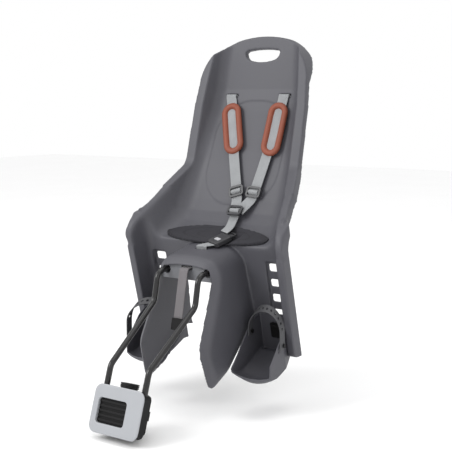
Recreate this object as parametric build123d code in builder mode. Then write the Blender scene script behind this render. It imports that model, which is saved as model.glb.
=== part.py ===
from build123d import *
import os
from math import atan2, cos, hypot, radians, sin, tan

os.makedirs("parts", exist_ok=True)

# sizes in millimetres: x to the right, y to the back, z up, the seat tube through the origin
wall = 4.0
gap = 0.3

# middle line of the sitting surface, as y and z
pan_front = (186.0, 270.0)
pan_corner = (346.4, 301.3)
bowl_radius = 150.0
back_bend = (474.0, 588.0)
head_end = (500.0, 752.0)
pan_half = 150.0
back_half = 126.0
bend_half = 102.0
head_half = 90.0
flare = 0.5
bowl_depth = 100.0
pan_rounding = 45.0
pan_rim = 45.0
corner_rim = 62.0
elbow_rim = 20.0
head_rim = 40.0
edge_rounding = 18.0
head_rounding = 32.0

# rim in side view and its rolled lip
rim_top = (484.0, 790.0)
rim_elbow = (398.0, 449.0)
rim_knee = (238.0, 316.0)
rim_foot = (304.0, 66.0)
rim_bend = 44.0
rim_toe = 14.0
lip_width = 20.0
lip_wall = 3.6
lip_rounding = 8.0
lip_drop = 14.0
skirt_top = (499.5, 786.0)
skirt_elbow = (410.6, 433.4)
skirt_knee = (268.0, 312.0)
skirt_foot = (346.4, 15.0)
far_back = 620.0
far_side = 280.0
head_crest = 731.0
head_corner = (132.0, 694.0)
head_shoulder = (141.0, 620.0)
head_corner_radius = 105.0
head_skirt_low = 620.0
head_skirt_fore = (455.0, 620.0)
head_skirt_aft = (520.0, 706.0)

# leg channels beside the saddle
channel_top = 335.0
channel_low = -5.0
channel_lean = 0.24
channel_back = 292.0
channel_level = 278.0
channel_half = 169.0
channel_flare = 0.3
channel_front = 100.0
channel_rounding = 18.0
channel_rim = 33.0
knee_lap = 24.0

# saddle and leg shields
saddle_top_half = 76.0
saddle_foot_half = 96.0
saddle_drop = 272.0
saddle_crown = 9.0
saddle_rounding = 42.0
arch_top = (184.0, 335.0)
arch_corner = (199.0, 226.0)
shield_knee = (139.0, 96.0)
shield_tip = (167.0, 10.0)
shield_belly = (228.0, 36.0)
shield_heel = (290.0, 88.0)
shield_bevel = 13.0
tunnel_foot = 112.0

# openings of the shell
handle_half = 50.0
handle_level = 689.0
handle_height = 33.0
strap_width = 25.0
strap_thick = 1.6
strap_slot_height = 7.0
shoulder_slot_x = 69.0
shoulder_slot_s = 247.0
crotch_slot_y = 254.0
ladder_x = 146.0
ladder_window = (26.0, 14.0)
ladder_pitch = 33.0
ladder_first = 249.0
ladder_count = 5
oval_half = 94.0
oval_low = -12.0
oval_high = 236.0
oval_depth = 1.4
oval_rounding = 82.0

# bent carrier rod
rod_radius = 6.0
rod_bend = 22.0
rod_x = 47.0
rod_forward = 11.0
rod_level = 243.0
rod_sink = 38.0
rod_lower_bend = 84.0
rod_elbow = (51.5, 159.0, 181.0)
rod_top_y = 172.0
rod_rear_y = 392.0
guide_x = 51.0
rod_fit = 0.08

# seat tube block
tube_lean = radians(19.0)
tube_radius = 14.3
liner_thick = 2.0
liner_rise = 9.0
collar_radius = 18.2
block_half = (60.0, 46.5)
block_corner = 16.0
cover_front = 27.0
cover_thick = 3.0
cover_inset = 3.5
window = (68.0, 48.0)
window_place = (-12.0, -3.0)
window_corner = 6.0
frame_depth = 8.3
frame_wall = 2.0
body_front = 23.7
pocket_floor = 18.4
jaw_half = 35.7
jaw_split = 0.75
body_back = 3.0
body_step = -8.0
step_half = (44.0, 41.0)
hump_back = -30.0
hump_half = (35.0, 39.0)
screw_place = (27.0, 33.0)
screw_radius = 2.5
button_travel = 4.0
fork_half = 4.0


def toward(a, b):
    length = hypot(b[0] - a[0], b[1] - a[1])
    return ((b[0] - a[0]) / length, (b[1] - a[1]) / length)


def along(a, way, distance):
    return (a[0] + way[0] * distance, a[1] + way[1] * distance)


def between(a, b, share):
    return a + (b - a) * share


def save(piece, name):
    piece.part.label = name
    export_step(piece.part, "parts/" + name + ".step")


# directions along the sitting surface
pan_way = toward(pan_front, pan_corner)
back_way = toward(pan_corner, back_bend)
head_way = toward(back_bend, head_end)
pan_angle = atan2(pan_way[1], pan_way[0])
turn = atan2(back_way[1], back_way[0]) - pan_angle
reach = bowl_radius * tan(turn / 2)
arc_start = along(pan_corner, pan_way, -reach)
arc_end = along(pan_corner, back_way, reach)
arc_centre = (arc_start[0] - pan_way[1] * bowl_radius, arc_start[1] + pan_way[0] * bowl_radius)
back_out = (-back_way[1], back_way[0])
pan_up = (-pan_way[1], pan_way[0])


def back_plane(height):
    place = along(arc_end, back_out, height)
    return Plane(origin=(0, *place), x_dir=(1, 0, 0), z_dir=(0, *back_out))


def pan_plane(y, height):
    place = along(arc_start, pan_way, (y - arc_start[0]) / pan_way[0])
    place = along(place, pan_up, height)
    return Plane(origin=(0, *place), x_dir=(1, 0, 0), z_dir=(0, *pan_up))


# slices of the bowl from the pan front to the top: place, direction, half width, rounding, rim height
def bowl_stations(extra):
    rows = [(along(arc_start, pan_way, -45 - extra), pan_way, pan_half, edge_rounding, pan_rim)]
    for step in range(6):
        share = step / 5
        angle = pan_angle + turn * share
        place = (arc_centre[0] + sin(angle) * bowl_radius, arc_centre[1] - cos(angle) * bowl_radius)
        rounding = between(edge_rounding, pan_rounding, min(1, share * 2))
        rim = between(pan_rim, corner_rim, min(1, 2 * share)) - max(0, share - 0.5) * 20
        half = between(back_half, pan_half, (1 - share) ** 2)
        rows.append((place, (cos(angle), sin(angle)), half, rounding, rim))
    back_length = hypot(back_bend[0] - arc_end[0], back_bend[1] - arc_end[1])
    for share, rim in ((0.32, elbow_rim), (0.9, head_rim)):
        half = between(back_half, bend_half, share)
        rows.append((along(arc_end, back_way, back_length * share), back_way, half, head_rounding, rim))
    head_length = hypot(head_end[0] - back_bend[0], head_end[1] - back_bend[1])
    for share in (0.15, 1.0):
        half = between(bend_half, head_half, share)
        place = along(back_bend, head_way, (head_length + extra) * share)
        rows.append((place, head_way, half, head_rounding, head_rim))
    return rows


def bowl(grow, drop, extra, upright=False):
    with BuildPart() as hollow:
        for place, way, half, rounding, rim in bowl_stations(extra):
            rise = bowl_depth + extra
            low = half + grow + flare * (rim if upright else -drop)
            high = half + grow + flare * (rim if upright else rise)
            cut = Plane(origin=(0, *place), x_dir=(1, 0, 0), z_dir=(0, -way[0], -way[1]))
            with BuildSketch(cut):
                with BuildLine():
                    Polyline((-low, -drop), (low, -drop), (high, rise), (-high, rise), close=True)
                make_face()
                fillet(vertices().sort_by(Axis.Y)[:2], lip_rounding if upright else rounding + drop)
        loft(ruled=True)
    return hollow.part


def channel(grow_side, grow_back, extra, upright=False, lap=0):
    with BuildPart() as hollow:
        for level in (channel_low - extra, channel_top + extra + lap):
            back = channel_back + (channel_level - level) * channel_lean + grow_back
            front = channel_front - extra
            half = channel_half + grow_side - channel_flare * grow_back
            wide = half + channel_flare * (back - front)
            if upright:
                half = channel_half + channel_flare * channel_rim + grow_side
                wide = half
            with BuildSketch(Plane.XY.offset(level)):
                with BuildLine():
                    Polyline((-half, back), (half, back), (wide, front), (-wide, front), close=True)
                make_face()
                corner = lip_rounding if upright else channel_rounding + grow_back
                fillet(vertices().sort_by(Axis.Y)[-2:], corner)
        loft(ruled=True)
    return hollow.part


def behind_line(top, elbow, knee, foot, inset):
    with BuildPart() as region:
        with BuildSketch(Plane.YZ):
            with BuildLine():
                Polyline(top, elbow, knee, foot, (far_back, foot[1]), (far_back, top[1]), close=True)
            make_face()
            fillet(vertices().sort_by_distance(Vertex(*elbow, 0))[0], rim_bend)
            fillet(vertices().sort_by_distance(Vertex(*knee, 0))[0], rim_bend)
            fillet(vertices().sort_by_distance(Vertex(*foot, 0))[0], rim_toe)
            if inset:
                offset(amount=-inset, mode=Mode.REPLACE)
        extrude(amount=far_side, both=True)
    return region.part


def head_outline(inset):
    x, z = head_corner
    shoulder_x, shoulder_z = head_shoulder
    with BuildPart() as region:
        with BuildSketch(Plane.XZ):
            with BuildLine():
                ThreePointArc((-x, z), (0, head_crest), (x, z))
                Polyline((x, z), (shoulder_x, shoulder_z), (far_side, shoulder_z), (far_side, 0),
                         (-far_side, 0), (-far_side, shoulder_z), (-shoulder_x, shoulder_z), (-x, z))
            make_face()
            for side in (-1, 1):
                fillet(vertices().sort_by_distance(Vertex(side * x, z, 0))[0], head_corner_radius)
            if inset:
                offset(amount=-inset, mode=Mode.REPLACE)
        extrude(amount=-far_back)
    return region.part


def saddle(inset, ahead, behind):
    half = saddle_top_half - inset
    foot = saddle_foot_half - inset
    side = -saddle_crown - inset
    slice_plane = Plane(origin=(0, *arc_start), x_dir=(1, 0, 0), z_dir=(0, -pan_way[0], -pan_way[1]))
    with BuildPart() as body:
        with BuildSketch(slice_plane.offset(-behind)):
            with BuildLine():
                ThreePointArc((-half, side), (0, -inset), (half, side))
                Polyline((half, side), (foot, -saddle_drop), (-foot, -saddle_drop), (-half, side))
            make_face()
            for x in (-half, half):
                fillet(vertices().sort_by_distance(Vertex(x, side, 0))[0], saddle_rounding - inset)
        extrude(amount=behind + ahead)
    return body.part


def saddle_side():
    with BuildPart() as region:
        with BuildSketch(Plane.YZ):
            with BuildLine():
                Polyline(arch_top, arch_corner, shield_knee, shield_tip, shield_belly,
                         shield_heel, (far_back, shield_heel[1]), (far_back, channel_top), close=True)
            make_face()
            fillet(vertices().sort_by_distance(Vertex(*arch_corner, 0))[0], 60)
            fillet(vertices().sort_by_distance(Vertex(*shield_knee, 0))[0], 45)
            fillet(vertices().sort_by_distance(Vertex(*shield_tip, 0))[0], 16)
            fillet(vertices().sort_by_distance(Vertex(*shield_belly, 0))[0], 40)
            fillet(vertices().sort_by_distance(Vertex(*shield_heel, 0))[0], 20)
        extrude(amount=far_side, both=True)
    return region.part


def bevelled_saddle(inset, behind):
    with BuildPart() as body:
        add(saddle(inset, 230, behind))
        add(saddle_side(), mode=Mode.INTERSECT)
        front = []
        for edge in body.edges():
            middle = edge @ 0.5
            across = abs((edge % 0.5).X) > 0.99
            on_front = middle.Y < arch_corner[0] + 2 and not (across and middle.Z < 255)
            if on_front and not (middle.Z < 60 and middle.Y > shield_tip[0] + 8):
                front.append(edge)
        chamfer(front, shield_bevel)
    return body.part


# screws that hold the pan to the clamp posts, square to the pan
post_x = 16.0
pan_screw_radius = 2.0
pan_screw_head = 4.4
facet_angle = pan_angle + turn / 10
facet_up = (-sin(facet_angle), cos(facet_angle))
facet_place = along(arc_centre, facet_up, -bowl_radius * cos(turn / 10))
pan_screw_plane = Plane(origin=(0, *facet_place), x_dir=(1, 0, 0), z_dir=(0, *facet_up))


def pan_screw_shape(grow, sink, length):
    with BuildPart() as screws:
        with BuildSketch(pan_screw_plane.offset(-sink)):
            with Locations((-post_x, 0), (post_x, 0)):
                Circle(pan_screw_head + grow)
        extrude(amount=-pan_screw_head + pan_screw_radius, taper=45)
        with BuildSketch(pan_screw_plane.offset(-sink)):
            with Locations((-post_x, 0), (post_x, 0)):
                Circle(pan_screw_radius + grow)
        extrude(amount=-length)
    return screws.part


# shell
sitting_space = bowl(0, 0, 6)
bowl_block = bowl(wall * 1.12, wall, 0)
leg_space = channel(0, 0, 6)
leg_block = channel(wall, wall, 0)
lip_bowl = bowl(lip_width, lip_drop, 0, upright=True)
lip_bowl_hollow = bowl(lip_width - lip_wall, lip_drop + 8, 6, upright=True)
lip_leg = channel(lip_width, wall, 0, upright=True, lap=knee_lap)
lip_leg_hollow = channel(lip_width - lip_wall, wall + 8, 6, upright=True, lap=knee_lap)
rim_region = behind_line(rim_top, rim_elbow, rim_knee, rim_foot, 0)
lip_region = behind_line(rim_top, rim_elbow, rim_knee, rim_foot, lip_wall)
skirt_region = behind_line(skirt_top, skirt_elbow, skirt_knee, skirt_foot, 0)
head_region = head_outline(0)
head_inset = head_outline(lip_wall)
head_block = bowl(lip_width - 0.5, lip_drop - 2, 0, upright=True)
oval_block = bowl(oval_depth, oval_depth, 6)
tunnel = saddle(wall, 230, 200)
saddle_outer = bevelled_saddle(0, 62)
saddle_hollow = bevelled_saddle(wall, 200)

with BuildPart() as shell_walls:
    add(bowl_block)
    add(leg_block)
    add(sitting_space, mode=Mode.SUBTRACT)
    add(leg_space, mode=Mode.SUBTRACT)
    add(rim_region, mode=Mode.INTERSECT)

with BuildPart() as shell_saddle:
    add(saddle_outer)
    add(saddle_hollow, mode=Mode.SUBTRACT)
    add(leg_block, mode=Mode.INTERSECT)

with BuildPart() as shell_lip:
    add(lip_bowl)
    add(lip_leg)
    add(sitting_space, mode=Mode.SUBTRACT)
    add(leg_space, mode=Mode.SUBTRACT)
    add(rim_region, mode=Mode.INTERSECT)
    add(lip_region, mode=Mode.SUBTRACT)
    add(skirt_region, mode=Mode.SUBTRACT)

with BuildPart() as shell_skirt:
    add(lip_bowl)
    add(lip_leg)
    add(lip_bowl_hollow, mode=Mode.SUBTRACT)
    add(lip_leg_hollow, mode=Mode.SUBTRACT)
    add(rim_region, mode=Mode.INTERSECT)
    add(skirt_region, mode=Mode.SUBTRACT)

with BuildPart() as head_skirt:
    add(head_block)
    add(sitting_space, mode=Mode.SUBTRACT)
    add(rim_region, mode=Mode.INTERSECT)
    add(head_region, mode=Mode.INTERSECT)
    add(head_inset, mode=Mode.SUBTRACT)
    with BuildSketch(Plane.YZ):
        with BuildLine():
            Polyline((0, head_skirt_low), (rim_elbow[0], head_skirt_low), head_skirt_fore, head_skirt_aft,
                     (far_back, head_skirt_aft[1]), (far_back, 2 * far_back), (0, 2 * far_back), close=True)
        make_face()
    extrude(amount=far_side, both=True, mode=Mode.INTERSECT)

with BuildPart() as back_oval:
    with BuildSketch(back_plane(0)):
        with Locations((0, (oval_low + oval_high) / 2)):
            RectangleRounded(2 * oval_half, oval_high - oval_low, oval_rounding)
    extrude(amount=30, both=True)
    add(oval_block, mode=Mode.INTERSECT)

with BuildPart() as seat_shell:
    add(shell_walls.part)
    add(shell_lip.part)
    add(shell_skirt.part)
    add(tunnel, mode=Mode.SUBTRACT)
    with Locations((0, shield_heel[0], 0)):
        Box(2 * saddle_foot_half + 30, far_back, 2 * tunnel_foot, mode=Mode.SUBTRACT)
    add(head_region, mode=Mode.INTERSECT)
    add(head_skirt.part)
    add(shell_saddle.part)
    add(back_oval.part, mode=Mode.SUBTRACT)
    # handle slot
    with BuildSketch(Plane.XZ):
        low = handle_level - handle_height / 2
        high = handle_level + handle_height / 2
        with BuildLine():
            ThreePointArc((-handle_half, high - 5), (0, high), (handle_half, high - 5))
            Line((handle_half, high - 5), (handle_half - 6, low + 9))
            ThreePointArc((handle_half - 6, low + 9), (0, low), (6 - handle_half, low + 9))
            Line((6 - handle_half, low + 9), (-handle_half, high - 5))
        make_face()
        fillet(vertices(), 8)
    extrude(amount=-far_back, mode=Mode.SUBTRACT)
    # shoulder slots
    with BuildSketch(back_plane(0)):
        with Locations((-shoulder_slot_x, shoulder_slot_s), (shoulder_slot_x, shoulder_slot_s)):
            RectangleRounded(strap_width + 5, strap_slot_height, 2)
    extrude(amount=40, both=True, mode=Mode.SUBTRACT)
    # crotch strap slot
    with BuildSketch(pan_plane(crotch_slot_y, 0)):
        RectangleRounded(strap_width + 5, strap_slot_height, 2)
    extrude(amount=20, both=True, mode=Mode.SUBTRACT)
    add(pan_screw_shape(0.6, -0.1, 22), mode=Mode.SUBTRACT)
    # room for the rods under the arch
    with BuildSketch(Plane.XZ.offset(-rod_top_y)):
        with Locations((-guide_x, rod_level), (guide_x, rod_level)):
            Circle(rod_radius + 2.5)
    extrude(amount=-40, mode=Mode.SUBTRACT)
    # ladder windows in the leg channel walls
    with BuildSketch(Plane.XZ):
        for step in range(ladder_count):
            level = ladder_first - step * ladder_pitch
            with Locations((-ladder_x, level), (ladder_x, level)):
                RectangleRounded(*ladder_window, 3)
    extrude(amount=-far_back, mode=Mode.SUBTRACT)
save(seat_shell, "seat_shell")

# buckle, its tongue and the lower webbing
buckle_x = 28.0
buckle_height = 4.6
buckle_turn = radians(22)
buckle_size = (34.0, 42.0, 9.5)
buckle_shift = -6.0
tongue_size = (26.0, 3.6)
tongue_end = 30.0
tongue_low = 2.6
button_size = (16.0, 9.0)
button_drop = 2.0
buckle_angle = radians(20)
buckle_way = (cos(buckle_angle), sin(buckle_angle))
buckle_up = (-sin(buckle_angle), cos(buckle_angle))
buckle_place = along(arc_centre, buckle_up, buckle_height - bowl_radius)
buckle_side = along((0, 0), buckle_way, -sin(buckle_turn))
buckle_plane = Plane(origin=(buckle_x, *buckle_place), x_dir=(cos(buckle_turn), *buckle_side), z_dir=(0, *buckle_up))

# oval seat pad on the pan, dented under the buckle
pad_centre_y = 314.0
pad_half = (137.0, 38.0)
pad_low = 0.4
pad_high = 6.4
pad_under = bowl(-pad_low, -pad_low, 0)
pad_over = bowl(-pad_high, -pad_high, 6)
with BuildPart() as seat_pad:
    with BuildSketch(Plane.XY.offset(pan_front[1])):
        with Locations((0, pad_centre_y)):
            Ellipse(*pad_half)
    extrude(amount=90)
    add(pad_under, mode=Mode.INTERSECT)
    add(pad_over, mode=Mode.SUBTRACT)
    with BuildSketch(buckle_plane.offset(-gap)):
        with Locations((0, buckle_shift + 6)):
            Rectangle(buckle_size[0] + 1, buckle_size[1] + 24)
    extrude(amount=40, mode=Mode.SUBTRACT)
save(seat_pad, "seat_pad")

# webbing lies on the back plane, so its places are x and the distance up the back
strap_height = 5.6
left_route = ((-70.0, 247.0), (10.0, 4.0), (18.0, -35.0))
right_route = ((68.0, 247.0), (48.0, 4.0), (31.0, -30.0))
left_lift = 9.0
right_lift = 13.0


def lower_band_plane(start, end, lift):
    run = start[1] - end[1]
    slope = hypot(run, lift)
    out = (lift / slope, run / slope)
    place = along(along(arc_end, back_way, start[1]), back_out, strap_height)
    z_dir = (back_way[0] * out[0] + back_out[0] * out[1], back_way[1] * out[0] + back_out[1] * out[1])
    return Plane(origin=(0, *place), x_dir=(1, 0, 0), z_dir=(0, *z_dir)), slope


def shoulder_strap(route, lift):
    slot, bend, end = route
    with BuildPart() as strap:
        with BuildSketch(back_plane(strap_height)):
            with BuildLine():
                Line(slot, bend)
            trace(line_width=strap_width)
        extrude(amount=strap_thick)
        with BuildSketch(back_plane(-14)):
            with Locations(slot):
                Rectangle(strap_width, strap_thick)
        extrude(amount=14 + strap_height + strap_thick)
        plane, slope = lower_band_plane(bend, end, lift)
        with BuildSketch(plane):
            with BuildLine():
                Line((bend[0], 3), (end[0], -slope))
            trace(line_width=strap_width)
        extrude(amount=strap_thick)
    return strap.part


with BuildPart() as shoulder_strap_left:
    add(shoulder_strap(left_route, left_lift))
save(shoulder_strap_left, "shoulder_strap_left")
with BuildPart() as shoulder_strap_right:
    add(shoulder_strap(right_route, right_lift))
save(shoulder_strap_right, "shoulder_strap_right")

# padded rings around the shoulder straps
ring_length = 118.0
ring_width = 45.0
ring_low = 1.8
ring_thick = 11.0
ring_s = 166.0
ring_window = (90.0, 21.0)


def shoulder_ring(route):
    slot, bend, end = route
    share = (slot[1] - ring_s) / (slot[1] - bend[1])
    x = between(slot[0], bend[0], share)
    lean = 90 + atan2(bend[0] - slot[0], slot[1] - bend[1]) * 180 / 3.14159265
    with BuildPart() as ring:
        with BuildSketch(back_plane(ring_low)):
            with Locations((x, ring_s)):
                SlotOverall(ring_length, ring_width, rotation=lean)
        extrude(amount=ring_thick)
        fillet(ring.faces().sort_by(Axis((0, 0, 0), (0, *back_out)))[-1].edges(), 4)
        with BuildSketch(back_plane(strap_height - gap)):
            with Locations((x, ring_s)):
                Rectangle(ring_length + 10, strap_width + 2 * gap, rotation=lean)
        extrude(amount=strap_thick + 2 * gap, mode=Mode.SUBTRACT)
        with BuildSketch(back_plane(strap_height)):
            with Locations((x, ring_s)):
                SlotOverall(*ring_window, rotation=lean)
        extrude(amount=20, mode=Mode.SUBTRACT)
    return ring.part


with BuildPart() as shoulder_pad_left:
    add(shoulder_ring(left_route))
save(shoulder_pad_left, "shoulder_pad_left")
with BuildPart() as shoulder_pad_right:
    add(shoulder_ring(right_route))
save(shoulder_pad_right, "shoulder_pad_right")

# slide adjusters
adjuster_size = (36.0, 25.0, 4.2)
adjuster_s = 19.0


def adjuster_frame():
    RectangleRounded(adjuster_size[0], adjuster_size[1], 7)
    with Locations((0, 5.2), (0, -5.2)):
        RectangleRounded(27, 5.4, 2, mode=Mode.SUBTRACT)


with BuildPart() as strap_adjusters:
    for route in (left_route, right_route):
        slot, bend, end = route
        share = (slot[1] - adjuster_s) / (slot[1] - bend[1])
        x = between(slot[0], bend[0], share)
        turn_angle = atan2(bend[0] - slot[0], slot[1] - bend[1]) * 180 / 3.14159265
        with BuildSketch(back_plane(strap_height + strap_thick + gap)):
            with Locations(Location((x, adjuster_s), turn_angle)):
                adjuster_frame()
        extrude(amount=adjuster_size[2])
save(strap_adjusters, "strap_adjusters")

with BuildPart() as lower_adjuster:
    plane, slope = lower_band_plane(right_route[1], right_route[2], right_lift)
    with BuildSketch(plane.offset(strap_thick + gap)):
        with Locations((22, -slope)):
            adjuster_frame()
    extrude(amount=adjuster_size[2])
save(lower_adjuster, "lower_adjuster")

with BuildPart() as buckle_body:
    with BuildSketch(buckle_plane):
        with Locations((0, buckle_shift)):
            RectangleRounded(buckle_size[0], buckle_size[1], 6)
    extrude(amount=buckle_size[2])
    fillet(buckle_body.faces().sort_by(Axis((0, 0, 0), (0, *buckle_up)))[-1].edges(), 2.5)
    # mouth for the tongue
    with BuildSketch(buckle_plane.offset(tongue_low)):
        with Locations((0, buckle_shift + buckle_size[1] / 2)):
            Rectangle(tongue_size[0] + 2 * gap, 22)
    extrude(amount=tongue_size[1] + gap, mode=Mode.SUBTRACT)
    # button well
    with BuildSketch(buckle_plane.offset(tongue_low)):
        with Locations((0, buckle_shift - 5)):
            RectangleRounded(button_size[0] + 2 * gap, button_size[1] + 2 * gap, 2.3)
    extrude(amount=20, mode=Mode.SUBTRACT)
save(buckle_body, "buckle_body")

with BuildPart() as buckle_button:
    with BuildSketch(buckle_plane.offset(tongue_low + gap + button_drop)):
        with Locations((0, buckle_shift - 5)):
            RectangleRounded(*button_size, 2)
    extrude(amount=buckle_size[2] - tongue_low - gap - button_drop)
save(buckle_button, "buckle_button")

with BuildPart() as buckle_tongue:
    tongue_start = buckle_shift + buckle_size[1] / 2 - 11 + gap
    with BuildSketch(buckle_plane.offset(tongue_low + gap / 2)):
        with Locations((0, (tongue_start + tongue_end) / 2)):
            RectangleRounded(tongue_size[0], tongue_end - tongue_start, 3)
        with Locations((0, tongue_end - 5)):
            RectangleRounded(20, 4, 1.5, mode=Mode.SUBTRACT)
    extrude(amount=tongue_size[1])
save(buckle_tongue, "buckle_tongue")

lower_top = (347.5, 341.5)
lower_foot = (324.5, 319.0)
with BuildPart() as lower_strap:
    lower_way = toward(lower_foot, lower_top)
    lower_length = hypot(lower_top[0] - lower_foot[0], lower_top[1] - lower_foot[1])
    lower_plane = Plane(origin=(0, *lower_foot), x_dir=(1, 0, 0), z_dir=(0, -lower_way[1], lower_way[0]))
    with BuildSketch(lower_plane):
        with BuildLine():
            Line((38.5, 0), (20, lower_length))
        trace(line_width=strap_width)
    extrude(amount=strap_thick)
save(lower_strap, "lower_strap")

crotch_height = 5.0
crotch_reach = 14.0
crotch_side = 17.5
with BuildPart() as crotch_strap:
    with BuildSketch(pan_plane(crotch_slot_y, -9)):
        Rectangle(strap_width, strap_thick)
    extrude(amount=9 + crotch_height + strap_thick)
    with BuildSketch(pan_plane(crotch_slot_y, crotch_height)):
        with BuildLine():
            Polyline((-strap_width / 2, -strap_thick / 2), (strap_width / 2, -strap_thick / 2),
                     (crotch_side + 11, crotch_reach - 5), (crotch_side - 11, crotch_reach + 4), close=True)
        make_face()
    extrude(amount=strap_thick)
save(crotch_strap, "crotch_strap")

# slotted plates that hold the webbing behind the shell
anchor_size = (42.0, 17.0, 3.0)


def anchor_outline():
    RectangleRounded(anchor_size[0], anchor_size[1], 3)
    Rectangle(strap_width + 2 * gap, strap_thick + 2 * gap, mode=Mode.SUBTRACT)


with BuildPart() as strap_anchors:
    with BuildSketch(back_plane(-wall - gap)):
        with Locations(left_route[0], right_route[0]):
            anchor_outline()
    extrude(amount=-anchor_size[2])
    with BuildSketch(pan_plane(crotch_slot_y, -wall - 1.2)):
        anchor_outline()
    extrude(amount=-anchor_size[2])
save(strap_anchors, "strap_anchors")

# guide for the carrier rods inside the arch
panel_front = 202.0
panel_thick = 4.0
panel_low = 225.0
guide_radius = 10.0
guide_start = 222.0
guide_end = 282.0
tray_half = 64.0
tray_low = 228.0
tray_high = 234.0
strap_slot_level = 250.0
panel_body = bevelled_saddle(wall + 0.4, 62)
with BuildPart() as rod_guide:
    add(panel_body)
    with Locations((0, panel_front, panel_low)):
        Box(2 * far_side, panel_thick, far_back,
            align=(Align.CENTER, Align.MIN, Align.MIN), mode=Mode.INTERSECT)
    with Locations((0, panel_front + 2, tray_low)):
        Box(2 * tray_half, guide_end - panel_front - 2, tray_high - tray_low,
            align=(Align.CENTER, Align.MIN, Align.MIN))
    with BuildSketch(Plane.XZ.offset(-guide_start)):
        with Locations((-guide_x, rod_level), (guide_x, rod_level)):
            Circle(guide_radius)
    extrude(amount=guide_start - guide_end)
    with BuildSketch(Plane.XZ.offset(-guide_start)):
        with Locations((-guide_x, rod_level), (guide_x, rod_level)):
            Circle(rod_radius + rod_fit)
    extrude(amount=guide_start - guide_end, mode=Mode.SUBTRACT)
    with BuildSketch(Plane.XZ.offset(-guide_start)):
        with Locations((-guide_x, rod_level), (guide_x, rod_level)):
            Circle(guide_radius - 1)
        with Locations((0, strap_slot_level)):
            RectangleRounded(strap_width + 3, 8, 2)
    extrude(amount=guide_start - panel_front + 1, mode=Mode.SUBTRACT)
save(rod_guide, "rod_guide")

# bent carrier rod in one piece
tube_up = (sin(tube_lean), cos(tube_lean))
tube_front = (-cos(tube_lean), sin(tube_lean))
rod_line = along((0, 0), tube_front, rod_forward)
rod_foot = along(rod_line, tube_up, -rod_sink)
rod_knee = along(rod_line, tube_up, rod_lower_bend)
with BuildPart() as carrier_rod:
    with BuildLine() as rod_path:
        FilletPolyline((rod_x, *rod_foot), (rod_x, *rod_knee), rod_elbow, (guide_x, rod_top_y, rod_level),
                       (guide_x, rod_rear_y, rod_level), (-guide_x, rod_rear_y, rod_level),
                       (-guide_x, rod_top_y, rod_level), (-rod_elbow[0], rod_elbow[1], rod_elbow[2]),
                       (-rod_x, *rod_knee), (-rod_x, *rod_foot), radius=rod_bend)
    with BuildSketch(Plane(origin=(rod_x, *rod_foot), x_dir=(1, 0, 0), z_dir=(0, *tube_up))):
        Circle(rod_radius)
    sweep()
save(carrier_rod, "carrier_rod")

# clamp plates that hold the rods to the pan
clamp_front = 286.0
clamp_rear = 326.0
clamp_half = 66.0
clamp_low = 234.0
clamp_high = 251.0
post_radius = 7.0
bolt_radius = 3.0
bolt_place = (32.0, 314.0)


def clamp_holes():
    with BuildPart() as holes:
        with BuildSketch(Plane.XZ.offset(-clamp_front + 1)):
            with Locations((-guide_x, rod_level), (guide_x, rod_level)):
                Circle(rod_radius + rod_fit)
        extrude(amount=clamp_front - clamp_rear - 2)
        with BuildSketch(Plane.XY):
            with Locations((-bolt_place[0], bolt_place[1]), bolt_place):
                Circle(bolt_radius + gap)
        extrude(amount=far_back)
    return holes.part


post_room = saddle(wall + gap, 230, 200)
with BuildPart() as clamp_upper:
    with BuildSketch(pan_screw_plane.offset(-wall)):
        with Locations((-post_x, 0), (post_x, 0)):
            Circle(post_radius)
    extrude(amount=-38)
    add(post_room, mode=Mode.INTERSECT)
    with Locations((0, clamp_front, rod_level + gap)):
        Box(2 * clamp_half, clamp_rear - clamp_front, clamp_high - rod_level - gap,
            align=(Align.CENTER, Align.MIN, Align.MIN))
    add(clamp_holes(), mode=Mode.SUBTRACT)
    with BuildSketch(pan_screw_plane):
        with Locations((-post_x, 0), (post_x, 0)):
            Circle(pan_screw_radius + rod_fit)
    extrude(amount=-26, mode=Mode.SUBTRACT)
save(clamp_upper, "clamp_upper")

with BuildPart() as clamp_lower:
    with Locations((0, clamp_front, clamp_low)):
        Box(2 * clamp_half, clamp_rear - clamp_front, rod_level - gap - clamp_low,
            align=(Align.CENTER, Align.MIN, Align.MIN))
    add(clamp_holes(), mode=Mode.SUBTRACT)
save(clamp_lower, "clamp_lower")

with BuildPart() as clamp_bolts:
    with BuildSketch(Plane.XY.offset(clamp_low - gap)):
        with Locations((-bolt_place[0], bolt_place[1]), bolt_place):
            RegularPolygon(6, 6)
    extrude(amount=-4)
    with BuildSketch(Plane.XY.offset(clamp_low - gap)):
        with Locations((-bolt_place[0], bolt_place[1]), bolt_place):
            Circle(bolt_radius)
    extrude(amount=clamp_high - clamp_low + 7)
save(clamp_bolts, "clamp_bolts")

with BuildPart() as clamp_nuts:
    with BuildSketch(Plane.XY.offset(clamp_high + gap)):
        with Locations((-bolt_place[0], bolt_place[1]), bolt_place):
            RegularPolygon(6, 6)
        with Locations((-bolt_place[0], bolt_place[1]), bolt_place):
            Circle(bolt_radius + rod_fit, mode=Mode.SUBTRACT)
    extrude(amount=5)
save(clamp_nuts, "clamp_nuts")

with BuildPart() as pan_screws:
    add(pan_screw_shape(0, 0.2, 22))
save(pan_screws, "pan_screws")

# safety strap through the panel slot
safety_thick = 2.0
safety_bend = (190.0, 244.0)
safety_end = (171.0, 150.0)
safety_pin_radius = 3.0
with BuildPart() as safety_strap:
    with BuildSketch(Plane.YZ):
        with BuildLine():
            Polyline((panel_front + panel_thick, strap_slot_level), (panel_front - 6, strap_slot_level),
                     safety_bend, safety_end)
        trace(line_width=safety_thick)
    extrude(amount=strap_width / 2, both=True)
save(safety_strap, "safety_strap")

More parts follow.
